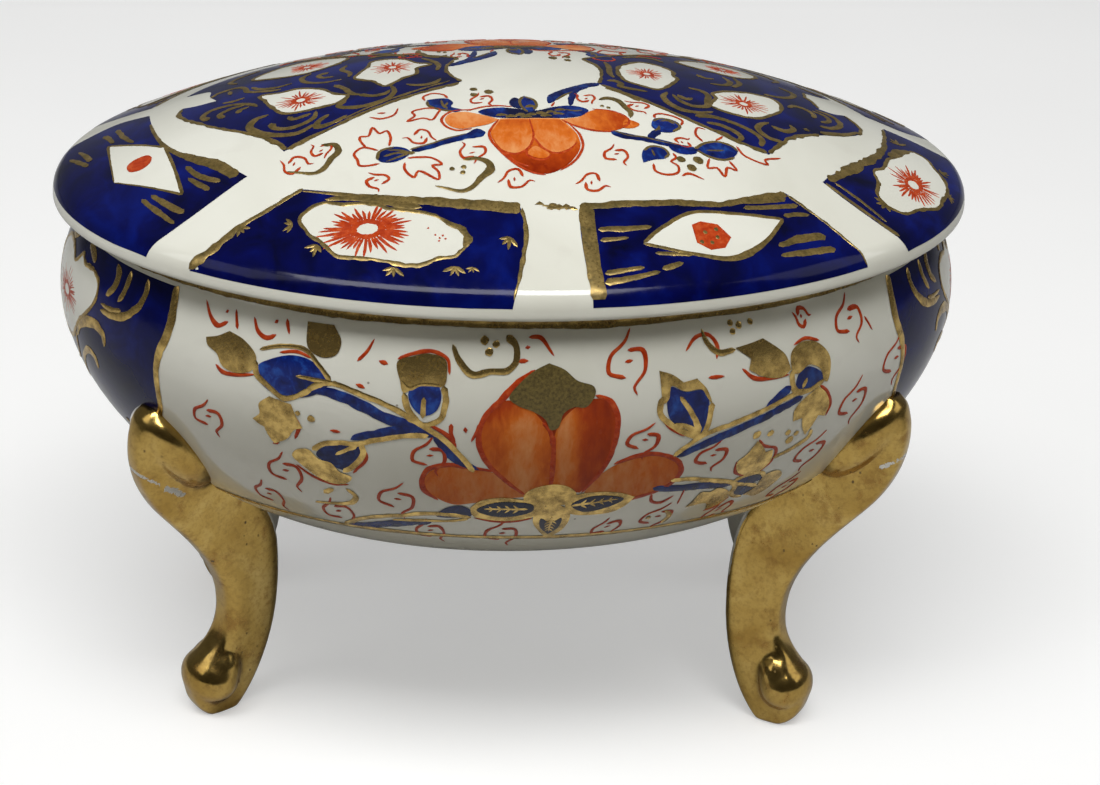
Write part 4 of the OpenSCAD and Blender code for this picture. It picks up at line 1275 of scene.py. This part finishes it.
gold_leaves = (
    [(-43, 64.8, 1), (-41.3, 65.3), (-39.7, 66.2, 1), (-37.3, 65.5), (-35.3, 63.8), (-35.7, 62), (-38, 61.2),
     (-40, 61.7), (-41, 63.1), (-42.6, 63.9)],
    [(-29.5, 69, 1), (-26, 69, 1), (-24.7, 67.3), (-25, 65.7), (-26.7, 65.1), (-28.7, 66)],
    [(-33.2, 59, 1), (-34.7, 57.7), (-34.7, 56.3), (-35.8, 55.3, 1), (-34.9, 54.6), (-34.3, 54.4, 1),
     (-34, 53.3), (-33.3, 52, 1), (-31.3, 53.2), (-30.2, 54.7), (-29, 55.2, 1), (-29.7, 56.7),
     (-30.3, 58.4, 1)],
    [(-17.6, 65.6), (-15.8, 66.4), (-13.8, 66.8), (-12, 66.2), (-11.7, 64.4), (-12, 63), (-14.7, 63),
     (-16.6, 61.8), (-17.1, 63.3)],
    [(-31.2, 50.5), (-30.3, 51.7), (-28.7, 52), (-27.6, 50.7), (-26, 50.3), (-25.2, 49), (-23.7, 48.3),
     (-24.7, 47), (-26.7, 46.7), (-28.3, 47.4), (-30, 49)],
    [(13, 64.4, 1), (14.7, 63.7), (16, 62.6, 1), (17.7, 62.9, 1), (19, 61.3), (19.7, 59.3), (18.9, 60.4),
     (18.3, 61.4), (16.2, 61.4), (14.5, 62.3), (14.2, 60.6), (13.6, 60)],
    [(23, 66, 1), (25.3, 66.3), (27, 66.6, 1), (28.7, 65.3), (30, 64), (30.7, 61.9, 1), (29.3, 61.2),
     (26.7, 61.7), (24.6, 63, 1), (25, 64.4, 1)],
    [(31, 61.4), (30.8, 64), (32, 65), (33.3, 65.2), (35.3, 64.5), (37, 62.3), (36.6, 59), (36, 59.3),
     (35.4, 61), (33.5, 62), (31.9, 61.2)],
    [(35.3, 58.6, 1), (36.7, 57.3), (37.7, 55.3), (37.4, 53.7, 1), (36.2, 54.1, 1), (35.7, 52.7),
     (35, 51.3, 1), (34, 52.7), (33.4, 54.4, 1), (32, 54.2, 1), (31.8, 56), (33, 57.4)],
    [(27.2, 52.3, 1), (26.2, 50.3), (25.2, 49.2), (26, 47.3), (28, 46.3), (29.7, 46.5), (30.8, 48),
     (30.3, 50.1, 1), (29.2, 50, 1), (28.3, 51.2)],
    [(21.8, 44.5), (23.4, 44.3), (24, 44.8), (26.3, 43.8), (27.2, 42.3), (26, 40.7), (24.7, 40.3, 1),
     (23.8, 41.9), (20.7, 41.7, 1), (21.3, 43)],
    [(31.3, 45.3), (33.3, 45.7), (35, 44.4), (34.4, 42), (32.7, 41), (30.8, 41.7), (29.9, 42), (31.2, 43.2)],
)
for outline in gold_leaves:
    bowl_gold.fill(outline, grid=0.8)
lines(
    bowl_gold, 0.75,
    [(-25.4, 62.2, 1.1), (-21.7, 61.1), (-18.3, 59.9), (-15, 58, 1.2), (-13.3, 56.8), (-11.7, 55.5),
     (-10, 53.4), (-8.4, 50.8)],
    [(-35, 64.8, 0.6), (-32.3, 65.7, 0.7), (-29, 65.7, 0.7), (-27, 64, 0.8), (-25.4, 62.4)],
    [(-35.4, 63.4), (-35, 61.6, 1.2), (-33.3, 60.3), (-31.3, 59.1), (-29, 60), (-26.8, 61.7), (-25, 62.2)],
    [(-29.8, 62.3, 0.5), (-27.6, 62.2, 0.8), (-25.2, 62.1)],
    [(-28.6, 60.3, 0.8), (-27.4, 61.3, 1.3), (-26.2, 62)],
    [(-16.6, 61.8), (-16, 59.7), (-14.4, 57.7), (-12.4, 58.4), (-11.7, 61), (-12, 63)],
    [(-14.2, 61.4, 0.7), (-14.3, 58.6, 0.9)],
    [(-17, 63.4, 0.5), (-16, 62.4, 0.8), (-14.7, 63, 0.7), (-12, 63, 0.6)],
    [(-13.6, 56.2), (-16.7, 55.8), (-20, 54.8), (-22.3, 53.9), (-24.5, 53.8), (-26.7, 53.2), (-28.2, 52)],
    [(-21.7, 54, 0.9), (-21.6, 52.6), (-23, 50.4), (-24.7, 49)],
    [(-22.3, 53.6), (-24, 52.6, 0.7), (-25.2, 51.8, 0.5)],
    [(-9, 42.3), (-12.3, 42.7), (-15, 42.6), (-18.3, 41.8), (-21.7, 41), (-25, 39.8), (-28.4, 37.9, 0.8)],
    [(-9.4, 41.9, 0.7), (-12, 41.3, 0.6), (-16, 41, 0.8), (-20, 40.6, 0.5)],
    [(-28.5, 44.5, 1.2), (-26.8, 45.6, 0.8)],
    [(-25, 46, 0.6), (-24, 44.8), (-24.8, 43.4), (-26.8, 42.7, 0.8), (-30.7, 42.2, 0.5)],
    [(-11.3, 68, 0.6), (-10.3, 66), (-8.7, 64.5, 1.2), (-6.7, 65), (-4.8, 65.1), (-3.8, 66.4), (-3.9, 68),
     (-5, 69.2, 1.2)],
    [(15.7, 52), (17, 53.2), (19.3, 54.8), (22.7, 55.8), (26.3, 56.8), (29.7, 57.9), (32.4, 58.6)],
    [(13.4, 61), (13.2, 58.7), (14.9, 56.8), (16.8, 55.4), (18.7, 54.6), (19.4, 56), (19.7, 59.4)],
    [(14.8, 57, 0.7), (16.8, 56.4), (18.6, 54.9, 1.2)],
    [(15.6, 60.8, 0.7), (17, 58.6, 0.9), (18.6, 55.4)],
    [(30.8, 61.8), (31, 60), (31.6, 58.7, 1.2), (33.6, 58.4), (36.2, 59.4)],
    [(33.2, 60.3, 0.9), (32.6, 59, 0.8)],
    [(18.9, 68.8, 0.5), (19.3, 67.3, 0.8), (20.7, 65.8), (23, 65.8)],
    [(16.3, 47.8, 0.9), (19.3, 47.5), (22, 46.7), (25.3, 45.7), (26.8, 44.8), (27.4, 43.2)],
    [(26.2, 45.6), (28, 46.2, 0.8), (30.4, 46.1, 0.7), (31.6, 45)],
    [(26.6, 44.9), (28.8, 44.3, 0.8), (31.2, 43.4)],
    [(26.8, 44), (27.8, 42.4, 0.8), (29.8, 41.7, 0.8)],
    [(31, 48.5), (32.7, 49), (34.7, 49.8), (36, 50.8), (35.8, 52, 0.7)],
    [(15.6, 40.8, 1.4), (15.9, 40.2, 1.2)],
    [(17.7, 41.7, 0.6), (19, 40.3), (18.7, 38.6)],
)
dots(bowl_gold, 0.04, (-7.6, 68.6, 0.5), (-6.2, 68.2, 0.42), (-7, 67.3, 0.5), (26.8, 53.3, 0.6),
    (28.9, 53.1, 0.5), (31.8, 52.5, 0.45), (33.3, 52, 0.4), (32.5, 51.1, 0.6), (22.9, 69, 0.4),
    (24, 68.6, 0.45), (25.7, 68.8, 0.4), (23, 68, 0.4), (-27.8, 56.8, 0.5), (-29.5, 57.3, 0.35))
lines(
    bowl_red, 0.5,
    [(-32.3, 64.9, 0.6), (-30, 65.3), (-28, 64.8, 0.6)],
    [(-41, 61.7, 0.8), (-40, 60.9, 1.3), (-37.4, 61), (-35.3, 61.5, 0.6)],
    [(-30, 56.8, 0.6), (-29.5, 55.4, 1.2), (-30.3, 53.3, 0.8)],
    [(-33.6, 51.9), (-32.6, 52.2, 0.8)],
    [(-17.6, 65.9, 0.8), (-15.8, 66.7), (-13.8, 67.1), (-11.8, 66.3, 0.8), (-11.4, 64.4, 0.6)],
    [(-25.5, 55.5), (-24.2, 55.4)],
    [(-13.6, 57.8, 0.8), (-11.4, 56.2, 1.4), (-10.4, 54.6, 0.7)],
    [(-31, 49, 0.7), (-29.4, 47.5), (-26.8, 46.5), (-24.4, 46.8, 0.6)],
    [(-21.4, 53, 0.9), (-21.4, 51.6), (-23.4, 49, 0.7)],
    [(-8.6, 42.2, 0.5), (-6, 41.5), (-3.3, 41.5), (-0.9, 42.2, 0.6)],
    [(23.7, 63.3, 0.7), (25.3, 61.8, 1.2), (27.7, 61.3), (30.4, 61.3, 0.6)],
    [(35.5, 58.7, 0.8), (37, 57.3), (38, 55.2), (37.7, 53.6, 0.6)],
    [(27.4, 52.4, 0.6), (28.6, 51.1), (30.8, 50.1, 0.9), (31.1, 48, 0.9), (29.8, 46.2, 0.5)],
    [(25.1, 49.3, 0.5), (25.7, 47.3), (27.8, 46.1, 0.6)],
    [(27.4, 42.2, 0.5), (26.2, 40.4), (24.6, 40, 0.6)],
    [(13.4, 58.2, 0.5), (14.7, 56.4), (16.6, 55, 0.6)],
    [(31.4, 65, 0.5), (33.3, 65.5), (35.5, 64.8, 0.6)],
    [(-20.7, 68, 0.5), (-21.4, 66.4, 0.8), (-22.4, 65.2)],
    [(-19.8, 65.5), (-18.7, 65.2, 1.2)],
    [(-22.3, 62.3), (-21.2, 61.9)],
    [(-11, 58, 1.1), (-11, 56.6), (-10.5, 55.4, 0.5)],
    [(-9.4, 57.6, 1.2), (-9.3, 56.8)],
    [(-7.6, 58.2, 1.3), (-8, 57), (-8.7, 55.5, 0.5)],
    [(-2.4, 69, 0.8), (-1, 68.9, 1.2), (0.6, 66.8, 0.5)],
    [(-3.7, 66.2), (-2.4, 66.3, 1.2)],
    [(-2.8, 67.8), (-2.2, 67.9)],
    [(16.5, 66.4, 0.5), (18, 67.9), (19.7, 68), (20.7, 66.5), (20.4, 65, 0.6)],
    [(19.2, 62.8, 0.8), (20.2, 62.7, 1.2), (21.3, 62.7, 0.5)],
    [(14.3, 45.7, 0.6), (14.8, 44.1), (16.3, 43.6, 1.1), (17.7, 44.7, 0.6)],
    [(18.9, 45.8, 0.6), (19, 42.8, 0.6)],
    [(-44.6, 69, 0.5), (-43, 67.2), (-41.7, 66.5, 1.2), (-40.3, 67.2)],
    [(-39.7, 68.8, 0.6), (-38.7, 66.6)],
    [(-36.8, 68.4, 0.6), (-35.7, 66.8), (-34.3, 66.3, 1.2), (-33.2, 66.9)],
    [(-32.3, 68.9), (-31.5, 67.2, 0.7)],
    [(-41.1, 68.2), (-40.7, 68.5)],
    [(-33.8, 68.2), (-33.4, 68.6)],
    [(44.2, 66, 0.8), (45.3, 63.9, 0.5)],
)
spots = [
    (-43, 53.7, 2.3, 0, 0.8), (-33.2, 47.4, 2.4, 0, 0.95), (-28, 40.8, 2.4, 10, 0.8),
    (-18.5, 45, 2.3, -12, 1), (-13.7, 53, 2.0, 0, 1), (9.2, 65.7, 2.3, 0, 1.15), (11.5, 55, 1.9, -14, 0.95),
    (21, 51.1, 2.1, -6, 0.8), (41.2, 66.3, 2.5, 0, 0.85), (42.6, 54.4, 2.4, 0, 1.05),
    (38, 47.6, 2.4, -8, 0.95), (50.6, 58.4, 2.7, -8, 0.95), (17, 40.4, 2.2, -8, 0.9),
    (27.6, 39.2, 2.2, 40, 0.6), (-15.2, 38.6, 2.1, 10, 0.9), (-5, 38.6, 2.3, 0, 0.95),
    (10, 39.2, 2.1, 20, 0.7), (38.8, 40.6, 2.2, 0, 0.9), (-38.6, 41.6, 2.2, 0, 0.9),
    (33.4, 68.1, 1.2, 70, 0.8)]
for x, y, size, turn, tall in spots:
    curl(bowl_red, x, y, size, turn, 1, tall, 0.46)

# ---- cobalt ends of the bowl
BORDER = [
    (-50.3, 69.4), (-49.6, 67.6), (-49.2, 65.6), (-49.4, 63.4), (-50.4, 61), (-51, 58.5), (-51.3, 55),
    (-51.8, 52.5), (-53.6, 49.5), (-54.6, 45), (-54.8, 41), (-54.6, 38)]
FAR = [(-2 * 86.0 - x, y) for x, y in BORDER]
for far_end in (same, swap_end):
    moves(BOWL, far_end)
    outline = [
        (-50.3, 69.4, 1), *BORDER[1:-1], (-54.6, 38, 1), *[(x, 38) for x in range(-62, -112, -8)], (*FAR[-1],
        1), *FAR[-2:0:-1], (*FAR[0], 1)]
    outline += [(x, 69.4) for x in range(-112, -56, 8)]
    bowl_blue.fill(outline, grid=1.3)
    opening(bowl_white, bowl_gold, [
        (-66, 64.2), (-66.8, 66), (-69.8, 66.8), (-72.8, 66.6, 1), (-74.7, 67.4), (-76.8, 65.8, 1),
        (-79.6, 66.8), (-83.4, 67.2), (-87, 66.2), (-89.6, 64), (-89.2, 61.6), (-86.4, 60, 1), (-87, 57.6),
        (-84, 55.8), (-80, 54.6), (-76.4, 55.2), (-74, 56.8, 1), (-71.2, 59.2), (-67.6, 61.8)], grid=1.3)
    aster(bowl_red, -78.2, 61.3, 6.6, 3.3, rays=32)
    bowl_gold.stroke([
        (x, y, w) for (x, y), w in zip(BORDER,
        (0.9, 1.1, 1.2, 1.2, 1.1, 0.9, 0.8, 0.8, 0.8, 0.8, 0.8, 0.8))],
        1.15, crown=0.03, ragged=0.06, blunt=0.5)
    bowl_gold.stroke(FAR, 1.1, crown=0.03, ragged=0.06, blunt=0.5)
    for mirrored in (same, mirror_end):
        moves(BOWL, lambda uv, a=far_end, b=mirrored: a(b(uv)))
        lines(
            bowl_gold, 1.0,
            [(-63.6, 69, 0.7), (-62.3, 68, 1.2), (-62.2, 66.4, 1.3), (-63.6, 65)],
            [(-60, 69, 0.8), (-59.5, 67.6), (-59.7, 66.2), (-60.4, 65, 0.8)],
            [(-55.9, 69, 0.8), (-55.2, 67.5), (-55.7, 65.8, 1.1), (-58.1, 63.7, 1.2), (-61.3, 62.9),
             (-64.2, 62.8, 0.5)],
            [(-64.4, 63.6, 0.4), (-61.6, 63.6, 0.7), (-59.2, 64.1, 0.5)],
            [(-72.9, 56.4, 0.6), (-71, 58.4), (-67.9, 60, 1.5), (-64.8, 60.4, 1.5), (-63.1, 59.6, 1.1),
             (-62.7, 58.1, 0.9)],
            [(-66.6, 53.6, 0.9), (-66.8, 55.2, 1.2), (-68.8, 55.6, 1.1), (-71.6, 54, 0.8),
             (-74.4, 51.4, 0.7), (-76.6, 48.8, 0.4)],
            [(-73.3, 56.8, 0.5), (-74.4, 54.4, 0.6), (-76, 52.4, 0.6), (-79, 51, 0.4)],
            [(-69.6, 67.6, 0.9), (-71.4, 68.4), (-73.8, 68.9, 0.7)],
            [(-79.6, 68.6, 0.6), (-81.6, 67.9), (-84.6, 68.2, 0.7)],
            [(-66, 46, 0.9), (-64.4, 44, 1.1), (-66.4, 42, 1.1), (-71, 41.4), (-77, 42.4, 0.6)],
        )

# ---- gilt lines round the bowl
moves(BOWL, same)
ROUND = 2 * math.pi * TURN
for height, width, crown in ((37.6, 0.8, 0.03), (70.5, 1.2, 0.02)):
    count = 60
    ring = [
        (ROUND * k / count, height + 0.06 * math.sin(5 * k),
        1 + 0.12 * math.sin(1.7 * k)) for k in range(count)]
    bowl_gold.stroke([*ring, (ROUND, height, 1)], width, crown=crown, ragged=0.06, step=0.9, blunt=1.0)

for one in (*LID, *BOWL):
    one.build()

# ---------------------------------------------------------------- legs

KNEE_Z, LEG_TURN, HALF_THICK, TOE = 52.0, 33.0, 2.5, 3.8
SPARE = 0.6  # stock under a foot, which ends flat on the table
EDGE = 0.42  # squareness of the blade's section: 0 is a box, 1 an ellipse
# Knee lobe, toe ball and its taper into the ankle: centre, half sizes and tilt in degrees
SWELLINGS = (
    ((-3, 0, 44.8), (3.8, 5.6, 8.0), 38),
    ((-9.3, 0, 5.4), (TOE, 1.25 * TOE, TOE), 0),
    ((-10, 0, 6.2), (3.3, 4.3, 4.9), -20),
)


def bezier(p):
    """Points of a cubic curve through four control points."""
    t = np.linspace(0, 1, 24)[:, None]
    p = np.array(p, float)
    return (1 - t) ** 3 * p[0] + 3 * (1 - t) ** 2 * t * p[1] + 3 * (1 - t) * t**2 * p[2] + t**3 * p[3]


LEG_OUTER = np.vstack(
    [
        bezier([(-1, 52.5), (4.5, 52), (5.2, 42), (-1, 34.5)]),
        bezier([(-1, 34.5), (-5.5, 29), (-11, 23), (-11, 16)])[1:],
        bezier([(-11, 16), (-11, 12), (-9.5, 11), (-7.5, 8.5)])[1:],
        bezier([(-7.5, 8.5), (-4.5, 5.5), (-6, 0.2), (-9, -SPARE)])[1:],
    ]
)
LEG_INNER = np.vstack(
    [
        bezier([(-12.5, -SPARE), (-16, 2), (-19.5, 9), (-19.5, 20)]),
        bezier([(-19.5, 20), (-19.5, 26), (-19, 28.5), (-17, 32)])[1:],
        [(-15, 35.5), (-10, 41), (-5, 46.5), (-2.6, 52.0)],
    ]
)


def leg_edges(z):
    """Inner and outer edge of the blade at height z."""
    outer = np.interp(z, LEG_OUTER[::-1, 1], LEG_OUTER[::-1, 0])
    return np.interp(z, LEG_INNER[:, 1], LEG_INNER[:, 0]), outer


def leg_solids():
    """Closed solids of one leg in its own frame: X outward from the knee, Z up."""
    points, faces = [], []
    around = 40
    a = np.arange(around) * 2 * math.pi / around

    def wall(base, rows):
        for r in range(base, base + rows * around, around):
            for k in range(around):
                n = (k + 1) % around
                faces.append([r + k, r + n, r + around + n, r + around + k])

    heights = np.concatenate([[-0.55], np.arange(0, 52.2, 0.7)])
    for z in heights:
        low, high = leg_edges(z)
        half, middle = (high - low) / 2, (high + low) / 2
        thick = HALF_THICK * (1 - 0.25 * max(0, (z - 40) / 12))
        x = middle + half * np.sign(np.cos(a)) * np.abs(np.cos(a)) ** EDGE
        y = thick * np.sign(np.sin(a)) * np.abs(np.sin(a)) ** EDGE
        points += list(zip(x, y, np.full(around, z)))
    last = (len(heights) - 1) * around
    wall(0, len(heights) - 1)
    faces += [list(range(around))[::-1], list(range(last, last + around))]
    for centre, radii, tilt in SWELLINGS:
        base, rows = len(points), 24
        c, s = math.cos(math.radians(tilt)), math.sin(math.radians(tilt))
        for b in np.arange(rows + 1) * math.pi / rows:
            for way in a:
                x = radii[0] * math.sin(b) * math.cos(way)
                y = radii[1] * math.sin(b) * math.sin(way)
                z = -radii[2] * math.cos(b)
                points.append((centre[0] + c * x + s * z, centre[1] + y, centre[2] - s * x + c * z))
        wall(base, rows)
    return points, faces


def leg(name, side, end, knee, lean, worn):
    """One leg, gilded where it shows, with bare porcelain on its far side and down its inner edge.

    Each worn streak is x0, z0, x1, z1 and a width, in the plane of the blade.
    """
    points, faces = leg_solids()
    mesh = bpy.data.meshes.new(name)
    mesh.from_pydata([tuple(MM * v for v in p) for p in points], [], faces)
    rough = bpy.data.objects.new(name + "_rough", mesh)
    bpy.context.scene.collection.objects.link(rough)
    remesh = rough.modifiers.new("skin", "REMESH")
    remesh.mode, remesh.voxel_size = "VOXEL", 0.38 * MM
    soften = rough.modifiers.new("soften", "SMOOTH")
    soften.factor, soften.iterations = 0.5, 14
    skin = bpy.data.meshes.new_from_object(rough.evaluated_get(bpy.context.evaluated_depsgraph_get()))
    bpy.data.objects.remove(rough)
    local = np.array([v.co for v in skin.vertices]) / MM
    flat = local[:, [0, 2]]
    inner_edge = leg_edges(local[:, 2])[0]
    far_side = np.clip((-end * local[:, 1] - 1.3) / 0.8, 0, 1) * np.clip((local[:, 2] - 11) / 3, 0, 1)
    edge_from = 18 if end < 0 else 3
    above = np.clip((local[:, 2] - edge_from) / 4, 0, 1)
    bare = np.maximum(far_side, np.clip((inner_edge + 0.9 - local[:, 0]) / 0.5, 0, 1) * above)
    for x0, z0, x1, z1, width in worn:
        start, run = np.array([x0, z0]), np.array([x1 - x0, z1 - z0])
        share = np.clip((flat - start) @ run / (run @ run), 0, 1)
        away = np.linalg.norm(flat - start - share[:, None] * run, axis=1)
        bare = np.maximum(bare, 0.62 * np.exp(-((away / width) ** 2)))
    matrix = (
        Matrix.Translation((side * knee[0], end * knee[1], 0))
        @ Matrix.Rotation(math.radians(side * end * LEG_TURN), 4, "Z")
        @ Matrix.Diagonal((-1 if side < 0 else 1, 1, 1, 1))
        @ Matrix.Translation((0, 0, KNEE_Z))
        @ Matrix.Rotation(math.radians(lean), 4, "X")
        @ Matrix.Translation((0, 0, -KNEE_Z))
    )
    placed = (np.array(matrix) @ np.vstack([local.T, np.ones(len(local))]))[:3].T
    placed[:, 2] = np.maximum(placed[:, 2], 0.02)
    # The root stops 1 mm inside the bowl's wall, so nothing of it shows in the hollow.
    span = np.hypot(placed[:, 0], placed[:, 1] / NARROW)
    wall = np.where(placed[:, 2] > BASE_Z, bowl_half(np.maximum(placed[:, 2], BASE_Z)) - 1.0, 0)
    placed[:, :2] *= np.maximum(1, wall / span)[:, None]
    faces = [list(f.vertices)[:: (-1 if side < 0 else 1)] for f in skin.polygons]
    bpy.data.meshes.remove(skin)
    set_tone(make_piece(name, placed, faces, LEG_GILT, "box", [name]), bare)


KNEE, REAR_RIGHT_KNEE = (49.0, 25.5), (51.0, 24.0)
leg("leg_front_left", -1, -1, KNEE, 4, [(3.6, 43.2, 0.4, 41.0, 0.4), (-0.6, 40.2, -3.0, 38.6, 0.8)])
leg("leg_front_right", 1, -1, KNEE, -6, [(3.8, 43.8, 0.6, 41.8, 0.55)])
leg("leg_rear_left", -1, 1, KNEE, 0, [(3.4, 42, -1, 39, 0.6), (-9, 20, -9.6, 15, 0.5)])
leg("leg_rear_right", 1, 1, REAR_RIGHT_KNEE, -5, [(2.4, 40, -1.6, 37.4, 0.6)])

# ---------------------------------------------------------------- camera, floor and light

camera = bpy.data.objects.new("camera", bpy.data.cameras.new("camera"))
bpy.context.scene.collection.objects.link(camera)
camera.data.lens, camera.data.sensor_width = 79.6, 36
camera.data.shift_x, camera.data.shift_y = 0.0227, 0.0068
camera.data.clip_start = 0.01
EYE = (-35.66, -312.23, 192.53)
RIGHT, UP, BACK = (0.9938, -0.1059, 0.0327), (0.0173, 0.4393, 0.8982), (-0.1095, -0.8921, 0.4384)
view = Matrix((RIGHT, UP, BACK)).transposed().to_quaternion().to_matrix().to_4x4()
camera.matrix_world = Matrix.Translation(Vector(EYE) * MM) @ view
bpy.context.scene.camera = camera

floor_mesh = bpy.data.meshes.new("floor")
REACH = 4  # half the floor's side, in metres
corners = [(-REACH, -REACH, 0), (REACH, -REACH, 0), (REACH, REACH, 0), (-REACH, REACH, 0)]
floor_mesh.from_pydata(corners, [], [(0, 1, 2, 3)])
floor_mesh.materials.append(floor_finish())
floor = bpy.data.objects.new("floor", floor_mesh)
bpy.context.scene.collection.objects.link(floor)


def soft_light(name, azimuth, elevation, distance, width, height, power, colour=(1, 1, 1)):
    """An area light that faces the middle of the box."""
    light = bpy.data.objects.new(name, bpy.data.lights.new(name, "AREA"))
    light.data.shape, light.data.size, light.data.size_y = "RECTANGLE", width, height
    light.data.energy, light.data.color = power, colour
    a, e = math.radians(azimuth), math.radians(elevation)
    place = Vector((math.sin(a) * math.cos(e), -math.cos(a) * math.cos(e), math.sin(e))) * distance
    light.location = place + Vector((0, 0, 0.05))
    light.rotation_euler = place.to_track_quat("Z", "Y").to_euler()
    bpy.context.scene.collection.objects.link(light)


soft_light("key_softbox", -14, 68, 0.9, 0.8, 0.36, 8)
soft_light("left_softbox", -70, 40, 1.0, 0.5, 0.5, 1)
soft_light("right_softbox", 75, 35, 1.0, 0.5, 0.5, 0.8)
bpy.context.scene.view_settings.view_transform = "Standard"


def surround(dim, pale, strength):
    """A soft world that grows from dim in front of the box to pale behind it."""
    world = bpy.data.worlds.new("studio")
    bpy.context.scene.world = world
    world.use_nodes = True
    tree = world.node_tree
    sky = tree.nodes.new("ShaderNodeTexCoord")
    split = tree.nodes.new("ShaderNodeSeparateXYZ")
    tree.links.new(sky.outputs["Generated"], split.inputs[0])
    shift = tree.nodes.new("ShaderNodeMath")
    shift.operation = "MULTIPLY_ADD"
    shift.inputs[1].default_value, shift.inputs[2].default_value = 0.5, 0.5
    tree.links.new(split.outputs["Y"], shift.inputs[0])
    ramp = tree.nodes.new("ShaderNodeValToRGB")
    for element, at, colour in zip(ramp.color_ramp.elements, (0.0, 1.0), (dim, pale)):
        element.position, element.color = at, (*colour, 1)
    tree.links.new(shift.outputs[0], ramp.inputs[0])
    tree.links.new(ramp.outputs[0], tree.nodes["Background"].inputs["Color"])
    tree.nodes["Background"].inputs["Strength"].default_value = strength


surround((0.10, 0.095, 0.085), (0.40, 0.41, 0.42), 0.4)
